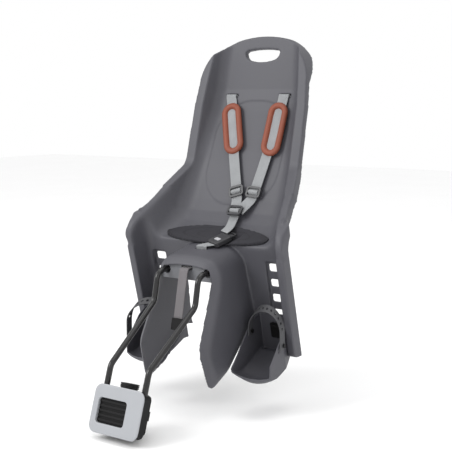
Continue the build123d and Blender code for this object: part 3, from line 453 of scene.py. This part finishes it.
def thin(piece, most):
    """Takes away triangles that a piece has over its most."""
    triangles = sum(len(p.vertices) - 2 for p in piece.data.polygons)
    if triangles > most:
        modify(piece, "DECIMATE", ratio=most / triangles)


def soft_moulding(node, name, voxel, rounds):
    """A solid with its edges softened as they come from the mould."""
    piece = copy_of(node, name)
    modify(piece, "REMESH", mode="VOXEL", voxel_size=voxel)
    smooth(piece, rounds)
    thin(piece, small_most)
    return piece


def band(name, route, width, thick, finish, slot, body, *replaced, holes=()):
    """Flat webbing: a strip laid along its route, then given its thickness."""
    start()
    steps = len(route) - 1
    columns = 3 if holes else 4
    bpy.ops.mesh.primitive_grid_add(x_subdivisions=columns, y_subdivisions=steps, size=1)
    piece = bpy.context.object
    piece.name = piece.data.name = name
    run = [0.0]
    for (place, _), (after, _) in zip(route, route[1:]):
        run.append(run[-1] + (after - place).length)
    weave = piece.data.uv_layers[0]
    weave.name = "along"
    for corner in piece.data.loops:
        spot = piece.data.vertices[corner.vertex_index].co
        row = round((spot.y + 0.5) * steps)
        weave.data[corner.index].uv = (spot.x * width, run[row])
    if holes:
        open_faces(piece, lambda spot: abs(spot.x) < middle_column
                   and int((spot.y + 0.5) * steps) in holes)
    for vertex in piece.data.vertices:
        place, across = route[round((vertex.co.y + 0.5) * steps)]
        vertex.co = place + across * (vertex.co.x * width)
    modify(piece, "SUBSURF", levels=2, render_levels=2, boundary_smooth="PRESERVE_CORNERS")
    modify(piece, "SOLIDIFY", thickness=thick, offset=0.0)
    modify(piece, "BEVEL", width=thick * bevel_share, segments=2, limit_method="ANGLE")
    dress(piece, body, finish, slot, *replaced)


# ---------------------------------------------------------------- shell

def surface_of(piece):
    return BVHTree.FromPolygons([v.co for v in piece.data.vertices],
                                [p.vertices for p in piece.data.polygons])


sitting = surface_of(nodes["seat_shell"])
shell_voxel = 0.002
shell_rounds = 5
shell_most = 185000

# the leg channels and their ladders, in millimetres
channel_back = 292.0
channel_level = 278.0
channel_lean = 0.24
ladder_x = 146.0
ladder_first = 249.0
ladder_pitch = 33.0
ladder_count = 5
window_half = 12.0
window_rise = 7.5
tray_half = 17.5
tray_depth = 8.0
tray_lip = 1.0
tray_wall = 3.0
tray_head = 13.0
tray_foot = 6.0
tray_cut = (-3.0, 9.0)
cut_inset = 1.0

# the hips, in millimetres
hip_place = (182.0, 262.0, 345.0)
hip_reach = 48.0
hip_rounds = 24
filler_place = (183.5, 282.0, 348.5)
filler_half = (5.0, 11.0, 7.0)

# the trim behind the leg shields, in millimetres
heel_half = 84.0
heel_low = 60.0
heel_front = 288.0
heel_front_top = 86.5
heel_climb = 0.83
heel_turn = 319.0
heel_back = 420.0
heel_back_top = 112.5
heel_overlap = 1.0

# the handle slot and its collar, in millimetres
handle_half = 50.0
handle_low = 672.5
handle_high = 705.5
handle_taper = 6.0
handle_sag = 5.0
handle_rise = 9.0
handle_margin = 6.0
handle_spread = (1.16, 1.5)
collar_steps = 6
collar_rounds = 2
collar_depth = 15.0
collar_wall = 4.0

# where the bowl is softened, in metres
bowl_rounds = 70
bowl_near = 0.006
bowl_far = 0.016
bowl_top = 0.4
bowl_back = 0.345
saddle_half = 0.128
hollow_low = 0.272
edge_bend = -0.0002
edge_skin = 0.0004
wall_most = 0.009
# y in front of the head, in metres, from where its face is looked for
in_front = 0.2


def handle_collar():
    """The deep wall around the handle slot, square to the head."""
    def face(x, z):
        return sitting.ray_cast(Vector((x * mm, in_front, z * mm)), Vector((0, 1, 0)))[0]

    middle = (handle_low + handle_high) / 2
    up = (face(0, handle_high + handle_margin) - face(0, handle_low - handle_margin)).normalized()
    inward = Vector((0, up.z, -up.y))
    low_half = handle_half - handle_taper
    outline = []
    for step in range(2 * collar_steps + 1):
        x = handle_half * (1 - step / collar_steps)
        outline.append((x, handle_high - handle_sag * (x / handle_half) ** 2))
    for step in range(2 * collar_steps + 1):
        x = low_half * (step / collar_steps - 1)
        outline.append((x, handle_low + handle_rise * (x / low_half) ** 2))
    start()
    bpy.ops.mesh.primitive_circle_add(vertices=len(outline), radius=1, fill_type="NOTHING")
    piece = bpy.context.object
    for vertex, (x, z) in zip(piece.data.vertices, outline):
        side = face(x * handle_spread[0], middle + (z - middle) * handle_spread[1])
        lift = (z * mm - side.z) / up.z
        vertex.co = (x * mm, side.y + up.y * lift, z * mm)
    smooth(piece, collar_rounds)
    choose_all(piece)
    extrude(inward * (collar_depth * mm))
    face_out(piece)
    modify(piece, "SOLIDIFY", thickness=collar_wall * mm, offset=0.0)
    return piece


def wall_y(z):
    """Front of the leg channel's back wall."""
    return channel_back + (channel_level - z) * channel_lean


def cut_away(piece, low, high, follow=False, climb=0.0):
    """Cuts a box out; it may follow the channel's wall, and its top may climb to the back."""
    start()
    bpy.ops.mesh.primitive_cube_add(size=1)
    block = bpy.context.object
    for vertex in block.data.vertices:
        x, y, z = (low[k] if vertex.co[k] < 0 else high[k] for k in range(3))
        if z == high[2]:
            z += climb * (y - low[1])
        vertex.co = Vector((x, y + (wall_y(z) if follow else 0), z)) * mm
    face_out(block)
    modify(piece, "BOOLEAN", operation="DIFFERENCE", solver="EXACT", object=block)
    bpy.data.objects.remove(block)


def trim_heel(piece):
    """Takes off the flange behind the leg shields, in line with their lower edge."""
    cut_away(piece, (-heel_half, heel_front, heel_low), (heel_half, heel_turn, heel_front_top),
             climb=heel_climb)
    cut_away(piece, (-heel_half, heel_turn - heel_overlap, heel_low),
             (heel_half, heel_back, heel_back_top))


def ladder_room(piece, sign):
    """Opens the channel's wall where a ladder's track goes."""
    sides = sorted((sign * (ladder_x - tray_half + cut_inset),
                    sign * (ladder_x + tray_half - cut_inset)))
    top = ladder_first + tray_head - cut_inset
    last = ladder_first - (ladder_count - 1) * ladder_pitch
    bottom = last - window_rise - tray_foot + cut_inset
    cut_away(piece, (sides[0], tray_cut[0], bottom), (sides[1], tray_cut[1], top), follow=True)


def ladder_tray(sign):
    """The sunk track behind a footrest, with the windows that its latch finds."""
    columns = [ladder_x - tray_half, ladder_x - window_half,
               ladder_x + window_half, ladder_x + tray_half]
    levels = [ladder_first + tray_head]
    for step in range(ladder_count):
        middle = ladder_first - step * ladder_pitch
        levels += [middle + window_rise, middle - window_rise]
    levels.append(levels[-1] - tray_foot)
    gaps = len(columns) - 1
    steps = len(levels) - 1
    start()
    bpy.ops.mesh.primitive_grid_add(x_subdivisions=gaps, y_subdivisions=steps, size=1)
    piece = bpy.context.object
    open_faces(piece, lambda spot: abs(spot.x) < middle_column
               and int((0.5 - spot.y) * steps) % 2 == 1)
    for vertex in piece.data.vertices:
        x = columns[round((vertex.co.x + 0.5) * gaps)]
        z = levels[round((0.5 - vertex.co.y) * steps)]
        vertex.co = Vector((sign * x, wall_y(z) + tray_depth, z)) * mm
    sides = (columns[0] * mm, columns[-1] * mm)
    ends = (levels[0] * mm, levels[-1] * mm)
    choose(piece, lambda spot: min(abs(abs(spot.x) - side) for side in sides) < near_enough
           or min(abs(spot.z - end) for end in ends) < near_enough)
    extrude((0, (tray_lip - tray_depth) * mm, 0))
    face_out(piece)
    modify(piece, "SOLIDIFY", thickness=tray_wall * mm, offset=0.0)
    return piece


def hip_filler(sign):
    """A little more plastic where the two halves of the rim meet at the hip."""
    start()
    bpy.ops.mesh.primitive_ico_sphere_add(subdivisions=3, radius=1)
    piece = bpy.context.object
    for vertex in piece.data.vertices:
        x, y, z = (filler_place[k] + filler_half[k] * vertex.co[k] for k in range(3))
        vertex.co = Vector((sign * x, y, z)) * mm
    face_out(piece)
    return piece


def in_bowl(spot):
    """True on the saddle, and in the bowl above the ladders."""
    if spot.z >= bowl_top or spot.y >= bowl_back:
        return False
    return abs(spot.x) < saddle_half or spot.z > hollow_low


def soften_bowl(piece):
    """Smooths the broad surfaces more and more away from the open edges."""
    inside = surface_of(piece)
    points = piece.data.vertices
    pull = [Vector() for _ in points]
    for line in piece.data.edges:
        first, second = line.vertices
        step = points[second].co - points[first].co
        pull[first] += step
        pull[second] -= step
    edge = []
    for vertex in points:
        if pull[vertex.index].dot(vertex.normal) < edge_bend:
            under = vertex.co - vertex.normal * edge_skin
            back = inside.ray_cast(under, -vertex.normal)[3]
            if back is None or back > wall_most:
                edge.append(vertex.co)
    tree = KDTree(len(edge))
    for number, spot in enumerate(edge):
        tree.insert(spot, number)
    tree.balance()
    soft = piece.vertex_groups.new(name="soft")
    for vertex in points:
        if in_bowl(vertex.co):
            weight = (tree.find(vertex.co)[2] - bowl_near) / (bowl_far - bowl_near)
            if weight > 0:
                soft.add([vertex.index], min(weight, 1.0), "REPLACE")
    smooth(piece, bowl_rounds, vertex_group="soft")


def soften_hips(piece):
    """Runs the lip smoothly round the hips, where the two halves of the rim meet."""
    hips = piece.vertex_groups.new(name="hips")
    for vertex in piece.data.vertices:
        mirrored = Vector((abs(vertex.co.x), vertex.co.y, vertex.co.z))
        away = mirrored - Vector(hip_place) * mm
        if away.length < hip_reach * mm:
            hips.add([vertex.index], 1 - away.length / (hip_reach * mm), "REPLACE")
    smooth(piece, hip_rounds, vertex_group="hips")


shell = copy_of("seat_shell", "moulded_shell")
trim_heel(shell)
ladder_room(shell, -1)
ladder_room(shell, 1)
join(shell, handle_collar(), ladder_tray(-1), ladder_tray(1), hip_filler(-1), hip_filler(1))
modify(shell, "REMESH", mode="VOXEL", voxel_size=shell_voxel)
smooth(shell, shell_rounds)
soften_bowl(shell)
soften_hips(shell)
thin(shell, shell_most)
dress(shell, "seat", shell_plastic, "shell_grey", "seat_shell")


# ---------------------------------------------------------------- footrests and block

foot_voxel = 0.0013
foot_rounds = 5
cover_voxel = 0.0008
cover_rounds = 14

# a footrest and its strap, in millimetres
foot_middle = 142.5
foot_half = 43.5
sole_top = 78.0
sole_depth = 60.0
sole_curve = 16.0
sole_drop = 2.0
toe_start = 266.0
toe_length = 44.0
toe_swell = 9.0
foot_strap_x = (102.4, 188.6)
foot_strap_y = 281.0
foot_strap_foot = 106.0
foot_strap_tail = 10.0
foot_strap_width = 17.0
foot_strap_thick = 2.2
foot_strap_lean = radians(52)
foot_strap_steps = 24
stud_margin = 8.0
plain_rows = 4
hole_every = 2


def share_of(number):
    """A number held between 0 and 1."""
    return min(max(number, 0), 1)


def footrest(side, sign):
    """A footrest with its sole rounded into a scoop."""
    piece = soft_moulding("footrest_" + side, "moulded_footrest_" + side, foot_voxel, foot_rounds)
    for vertex in piece.data.vertices:
        across = (vertex.co.x / mm * sign - foot_middle) / foot_half
        low = share_of((sole_top - vertex.co.z / mm) / sole_depth) ** 2
        fore = share_of((toe_start - vertex.co.y / mm) / toe_length)
        vertex.co.z += (sole_curve * across * across - sole_drop) * low * mm
        vertex.co.y -= toe_swell * (1 - across * across) * low * fore * mm
    dress(piece, "foot_" + side, shell_plastic, "shell_grey", "footrest_" + side)


def foot_strap(side, sign, outer_y, level, spread, stud_level):
    """Rubber strap over the foot, with its row of holes, leaning back at the top."""
    first = Vector((sign * (foot_strap_x[0] + spread), foot_strap_y))
    last = Vector((sign * (foot_strap_x[1] + spread), outer_y))
    way = (last - first).normalized()
    radius = (last - first).length / 2
    middle = (first + last) / 2
    behind = Vector((0, 1, 0))
    inner_end = min(foot_strap_foot, level - foot_strap_tail)
    places = [(-radius, inner_end), (-radius, (inner_end + level) / 2)]
    for step in range(foot_strap_steps + 1):
        turn = pi * step / foot_strap_steps
        places.append((-radius * cos(turn), level + radius * sin(turn)))
    places += [(radius, (level + stud_level) / 2), (radius, stud_level - stud_margin)]
    route = []
    for along, z in places:
        lean = foot_strap_lean * max((z - level) / radius, 0)
        across = behind * cos(lean) + Vector((0, 0, sin(lean)))
        spot = middle + way * along
        route.append((Vector((spot.x, spot.y, z)) * mm, across))
    band("foot_strap_webbing_" + side, route, foot_strap_width * mm, foot_strap_thick * mm,
         strap_rubber, "strap_rubber", "foot_" + side, "foot_strap_" + side,
         holes=range(plain_rows, len(places) - plain_rows, hole_every))


footrest("left", -1)
footrest("right", 1)
foot_strap("left", -1, outer_y=246.0, level=106.0, spread=3.8, stud_level=80.0)
foot_strap("right", 1, outer_y=264.0, level=126.0, spread=2.0, stud_level=100.0)

cover = soft_moulding("block_cover", "block_front", cover_voxel, cover_rounds)
dress(cover, "block", cover_plastic, "cover_grey", "block_cover")


# ---------------------------------------------------------------- harness

ring_segments = 72
ring_voxel = 0.0014
ring_rounds = 6

# straps, rings and loops, in millimetres: places are up the back, middles and heights out from it
strap_width = 25.0
strap_thick = 1.6
strap_middle = 6.4
ring_place = 166.0
ring_half = (63.0, 24.5)
ring_roll = 7.0
ring_flat = 0.8
ring_middle = 7.3
# how far a ring's back reaches under the roll, how thick it is, and its level
ring_back = (2.0, 3.0, -3.5)
adjuster_place = 19.0
adjuster_height = 7.5
loop_width = 22.5
loop_thick = 1.4
lower_width = 23.0
lower_lift = 1.9
lower_x = 22.0
lower_height = 5.6
safety_width = 21.0
safety_thick = 2.0

# a shoulder strap's slot, its bend and its end, how far it lifts there, and its bow
left_route = ((-70.0, 247.0), (10.0, 4.0), (18.0, -35.0), 9.0, -3.0)
right_route = ((68.0, 247.0), (48.0, 4.0), (31.0, -30.0), 13.0, 3.0)
# drop and height of its fold at the slot, levels down the back, and shares of its last run
slot_fold = ((0.0, -11.0), (-0.6, -3.0), (-1.6, 2.6), (-2.2, 6.2), (0.6, 8.4), (5.5, 7.2))
strap_levels = (234, 220, 200, 178, 156, 134, 112, 90, 66, 42, 22, 10)
last_run = (0.12, 0.4, 0.7, 1.0)
# a loop's way over an adjuster's bar: along and out
loop_profile = ((-5.6, -1.2), (-4.6, 1.5), (-3.0, 4.6), (0.0, 5.6),
                (3.0, 4.6), (4.6, 1.5), (5.6, -1.2))
# x, y, z and turn in degrees of the strap to the buckle
lower_places = ((20.0, 349.5, 343.5, 2), (21.0, 342.0, 337.0, 4), (22.5, 334.0, 329.8, 8),
                (24.0, 325.0, 323.0, 12), (24.5, 316.0, 318.8, 16), (24.0, 309.0, 316.0, 20),
                (22.5, 304.0, 313.6, 22))
lower_twist = (0.9, 0.4)
# the crotch strap: heights in its slot, its fold, then x, y, height and turn in degrees
crotch_slot = 254.0
crotch_heights = (-9.0, -3.0, 3.0)
crotch_fold = (0.6, 253.6, 5.6)
crotch_places = ((5.0, 257.0, 6.2, 6), (12.0, 263.0, 6.2, 16), (18.0, 270.0, 6.4, 22))
# y and z down the safety strap
safety_places = ((206.0, 250.0), (202.0, 250.0), (197.0, 250.0), (192.6, 248.4), (189.8, 243.0),
                 (187.0, 229.0), (183.0, 209.0), (179.0, 189.5), (175.0, 169.8), (171.0, 150.0))
sideways = Vector((1, 0, 0))


def strap_x(route, s):
    """How far across the strap is at s, with the slight bow that it hangs in."""
    slot, bend, _, _, bow = route
    share = (slot[1] - s) / (slot[1] - bend[1])
    return slot[0] + (bend[0] - slot[0]) * share + bow * sin(pi * share_of(share))


def strap_lean(route, s):
    """How far the strap leans sideways at s."""
    return atan2(strap_x(route, s - 1) - strap_x(route, s + 1), 2.0)


def across_back(lean):
    """The way across a strap that leans sideways on the back."""
    return Vector((cos(lean), sin(lean) * back_way.x, sin(lean) * back_way.y))


def shoulder_stations(route):
    """Out of the slot, down the back through ring and adjuster, and out to the junction."""
    slot, bend, end, lift, _ = route
    stations = []
    for drop, height in slot_fold:
        stations.append((on_back(slot[0], slot[1] - drop, height), across_back(0.0)))
    for s in strap_levels:
        place = on_back(strap_x(route, s), s, strap_middle)
        stations.append((place, across_back(strap_lean(route, s))))
    lean = atan2(end[0] - bend[0], bend[1] - end[1])
    for share in last_run:
        x = bend[0] + (end[0] - bend[0]) * share
        s = bend[1] + (end[1] - bend[1]) * share
        stations.append((on_back(x, s, strap_middle + lift * share), across_back(lean)))
    return stations


def shoulder_ring(name, route, turn, node):
    """Foam ring around a shoulder strap, with a thin back under the webbing."""
    wider, thick, level = (number * mm for number in ring_back)
    start()
    radius = (ring_half[1] - ring_roll) * mm
    bpy.ops.mesh.primitive_torus_add(major_segments=ring_segments, minor_segments=20,
                                     major_radius=radius, minor_radius=ring_roll * mm)
    piece = bpy.context.object
    piece.name = piece.data.name = name
    bpy.ops.mesh.primitive_cylinder_add(vertices=ring_segments, radius=radius + wider,
                                        depth=thick, location=(0, 0, level))
    join(piece, bpy.context.object)
    stretch = (ring_half[0] - ring_half[1]) * mm
    for end in (1, -1):
        choose(piece, lambda spot: spot.y * end > merge_gap)
        bpy.ops.transform.translate(value=(0, stretch * end, 0))
        bpy.ops.object.mode_set(mode="OBJECT")
    modify(piece, "REMESH", mode="VOXEL", voxel_size=ring_voxel)
    smooth(piece, ring_rounds)
    for vertex in piece.data.vertices:
        s = ring_place + vertex.co.y / mm * cos(strap_lean(route, ring_place))
        side = vertex.co.x / mm
        height = ring_middle + vertex.co.z / mm * ring_flat
        middle = strap_x(route, s) - tan(turn) * (s - ring_place)
        across = across_back(strap_lean(route, s))
        vertex.co = on_back(middle, s, height) + across * (side * mm)
    dress(piece, "seat", ring_foam, "ring_terracotta", node)


def webbing_loop(name, place, up, across, out, base):
    """The turn of webbing that shows over an adjuster's bar."""
    route = []
    for along, height in loop_profile:
        route.append((place + up * (along * mm) + out * ((base + height) * mm), across))
    band(name, route, loop_width * mm, loop_thick * mm, webbing_grey, "webbing_grey", "seat")


def shoulder_strap(side, route, ring_turn):
    """One side's webbing, its foam ring, and the loop in its adjuster."""
    band("shoulder_webbing_" + side, shoulder_stations(route), strap_width * mm, strap_thick * mm,
         webbing_grey, "webbing_grey", "seat", "shoulder_strap_" + side)
    shoulder_ring("shoulder_ring_" + side, route, ring_turn, "shoulder_pad_" + side)
    slot, bend = route[:2]
    share = (slot[1] - adjuster_place) / (slot[1] - bend[1])
    middle = slot[0] + (bend[0] - slot[0]) * share
    lean = atan2(bend[0] - slot[0], slot[1] - bend[1])
    up = Vector((-sin(lean), cos(lean) * back_way.x, cos(lean) * back_way.y))
    webbing_loop("adjuster_loop_" + side, on_back(middle, adjuster_place, adjuster_height), up,
                 across_back(lean), in_space(back_out), 0.0)


def lower_loop():
    """The loop in the adjuster where both straps meet; it leans out with the right one."""
    _, bend, end, lift, _ = right_route
    slope = hypot(bend[1] - end[1], lift)
    out = Vector((lift, bend[1] - end[1])) / slope
    normal = in_space(back_way * out.x + back_out * out.y)
    up = in_space(back_way * out.y - back_out * out.x)
    middle = on_back(lower_x, bend[1], lower_height) - up * (slope * mm)
    webbing_loop("adjuster_loop_lower", middle, up, sideways, normal, lower_lift)


def lower_strap():
    """The webbing from the lower adjuster to the buckle, twisting as it goes."""
    route = []
    for x, y, z, turn in lower_places:
        sink = sin(radians(turn))
        across = Vector((cos(radians(turn)), -sink * lower_twist[0], -sink * lower_twist[1]))
        route.append((Vector((x, y, z)) * mm, across))
    band("lower_webbing", route, lower_width * mm, strap_thick * mm,
         webbing_grey, "webbing_grey", "seat", "lower_strap")


def crotch_strap():
    """The short webbing that comes out of the pan and turns to the buckle."""
    route = [(on_pan(0.0, crotch_slot, height), sideways) for height in crotch_heights]
    route.append((on_pan(*crotch_fold), sideways))
    for x, y, height, turn in crotch_places:
        sink = sin(radians(turn))
        across = Vector((cos(radians(turn)), -sink * pan_way.x, -sink * pan_way.y))
        route.append((on_pan(x, y, height), across))
    band("crotch_webbing", route, strap_width * mm, strap_thick * mm,
         webbing_grey, "webbing_grey", "seat", "crotch_strap")


def safety_strap():
    """The dark strap that hangs out of the front panel."""
    route = [(Vector((0, y, z)) * mm, sideways) for y, z in safety_places]
    band("safety_webbing", route, safety_width * mm, safety_thick * mm,
         webbing_dark, "webbing_dark", "seat", "safety_strap")


shoulder_strap("left", left_route, ring_turn=radians(2))
shoulder_strap("right", right_route, ring_turn=radians(4.5))
lower_loop()
lower_strap()
crotch_strap()
safety_strap()


# ---------------------------------------------------------------- seat pad

# the dent under the buckle, and how the pad lies on the pan, in millimetres
buckle_place = (28.0, 290.8)
buckle_turn = radians(22)
buckle_half = (18.0, 32.0)
buckle_ahead = 2.0
dent_reach = 7.0
dent_left = 0.12
side_climb = 0.026
pad_lift = 0.4

# how the pad is made, in metres
pad_voxel = 0.0025
pad_rounds = 3
pad_pressure = 4.0
pad_frames = 20
pad_swell = 0.0012


def ground(y):
    """Height of the sitting surface along its middle."""
    if y < pan_end.x:
        return pan_front.y + (y - pan_front.x) * pan_way.y / pan_way.x
    centre = pan_end + pan_up * bowl_radius
    return centre.y - (bowl_radius ** 2 - (y - centre.x) ** 2) ** 0.5


def buckle_room(x, y):
    """How far a place lies outside the dent that the buckle presses into the pad."""
    x -= buckle_place[0]
    y -= buckle_place[1]
    aside = x * cos(buckle_turn) - y * sin(buckle_turn)
    ahead = x * sin(buckle_turn) + y * cos(buckle_turn)
    return max(abs(aside) - buckle_half[0], abs(ahead - buckle_ahead) - buckle_half[1])


def blow_up(piece):
    """Lets cloth pressure swell a piece, each point by no more than its most."""
    rest = [vertex.co.copy() for vertex in piece.data.vertices]
    pick(piece)
    cloth = piece.modifiers.new("cloth", "CLOTH")
    cloth.settings.use_pressure = True
    cloth.settings.uniform_pressure_force = pad_pressure
    cloth.settings.effector_weights.gravity = 0.0
    for step in range(1, pad_frames + 1):
        bpy.context.scene.frame_set(step)
    bpy.ops.object.modifier_apply(modifier="cloth")
    for vertex, spot in zip(piece.data.vertices, rest):
        moved = vertex.co - spot
        if moved.length > pad_swell:
            moved *= pad_swell / moved.length
        vertex.co = spot + moved


def seat_cushion():
    """The oval pad: a disc, remeshed, blown up a little, and laid on the pan."""
    start()
    bpy.ops.mesh.primitive_cylinder_add(vertices=96, radius=1, depth=1)
    piece = bpy.context.object
    piece.name = piece.data.name = "seat_cushion"
    choose_all(piece)
    bpy.ops.transform.resize(value=(pad_half[0] * mm, pad_half[1] * mm, pad_thick * mm))
    bpy.ops.object.mode_set(mode="OBJECT")
    modify(piece, "REMESH", mode="VOXEL", voxel_size=pad_voxel)
    smooth(piece, pad_rounds)
    blow_up(piece)
    modify(piece, "SUBSURF", levels=1, render_levels=1)
    for vertex in piece.data.vertices:
        x, y, z = vertex.co / mm
        y += pad_middle
        height = max(z + pad_thick / 2, 0.0)
        height *= dent_left + (1 - dent_left) * share_of(buckle_room(x, y) / dent_reach)
        rise = side_climb * max(abs(x) - pan_flat, 0.0) ** 2
        vertex.co = Vector((x, y, ground(y) + rise + pad_lift + height)) * mm
    dress(piece, "seat", pad_cloth, "pad_charcoal", "seat_pad")


seat_cushion()


# ---------------------------------------------------------------- stage, light and camera

# in metres and degrees
floor_size = 14
floor_gap = 0.0005
floor_tones = ((0.93, 0.93, 0.93), (0.96, 0.96, 0.96))
light_aim = Vector((0.0, 0.28, 0.38))
# name, place, size and power of each light
lights = (
    ("key_light", (-1.5, -2.0, 2.1), 1.5, 52.0),
    ("side_light", (2.4, -0.9, 1.4), 1.4, 4.0),
    ("top_light", (0.2, 0.4, 2.8), 1.6, 14.0),
)
camera_place = (1.119, -1.314, 0.587)
camera_down = 7.596
camera_turn = 34
camera_lens = 74.4
camera_sensor = 36.0


def build_floor():
    """A pale paper floor under the part."""
    start()
    level = cad_box[0].z - floor_gap
    bpy.ops.mesh.primitive_plane_add(size=floor_size, location=(0, 0, level))
    floor = bpy.context.object
    floor.name = "floor"
    paper = Finish("floor_paper")
    mottle = paper.noise(paper.place(), scale=3.0)
    paper.set(Base_Color=paper.blend(mottle, *floor_tones), Roughness=0.9)
    floor.data.materials.append(paper.material)


def build_light():
    """A white world and three soft area lights."""
    world = bpy.data.worlds.new("studio")
    world.use_nodes = True
    background = world.node_tree.nodes["Background"]
    background.inputs["Color"].default_value = (1, 1, 1, 1)
    background.inputs["Strength"].default_value = 1.0
    bpy.context.scene.world = world
    for name, place, size, power in lights:
        light = bpy.data.lights.new(name, "AREA")
        light.size = size
        light.energy = power
        lamp = bpy.data.objects.new(name, light)
        lamp.location = place
        lamp.rotation_euler = (light_aim - Vector(place)).to_track_quat("-Z", "Y").to_euler()
        bpy.context.scene.collection.objects.link(lamp)


def build_camera():
    """The camera at the photo's angle."""
    scene = bpy.context.scene
    scene.view_settings.view_transform = "Standard"
    camera = bpy.data.objects.new("camera", bpy.data.cameras.new("camera"))
    camera.data.sensor_width = camera_sensor
    camera.data.lens = camera_lens
    camera.location = camera_place
    camera.rotation_euler = (radians(90 - camera_down), 0, radians(camera_turn))
    scene.collection.objects.link(camera)
    scene.camera = camera


build_floor()
build_light()
build_camera()
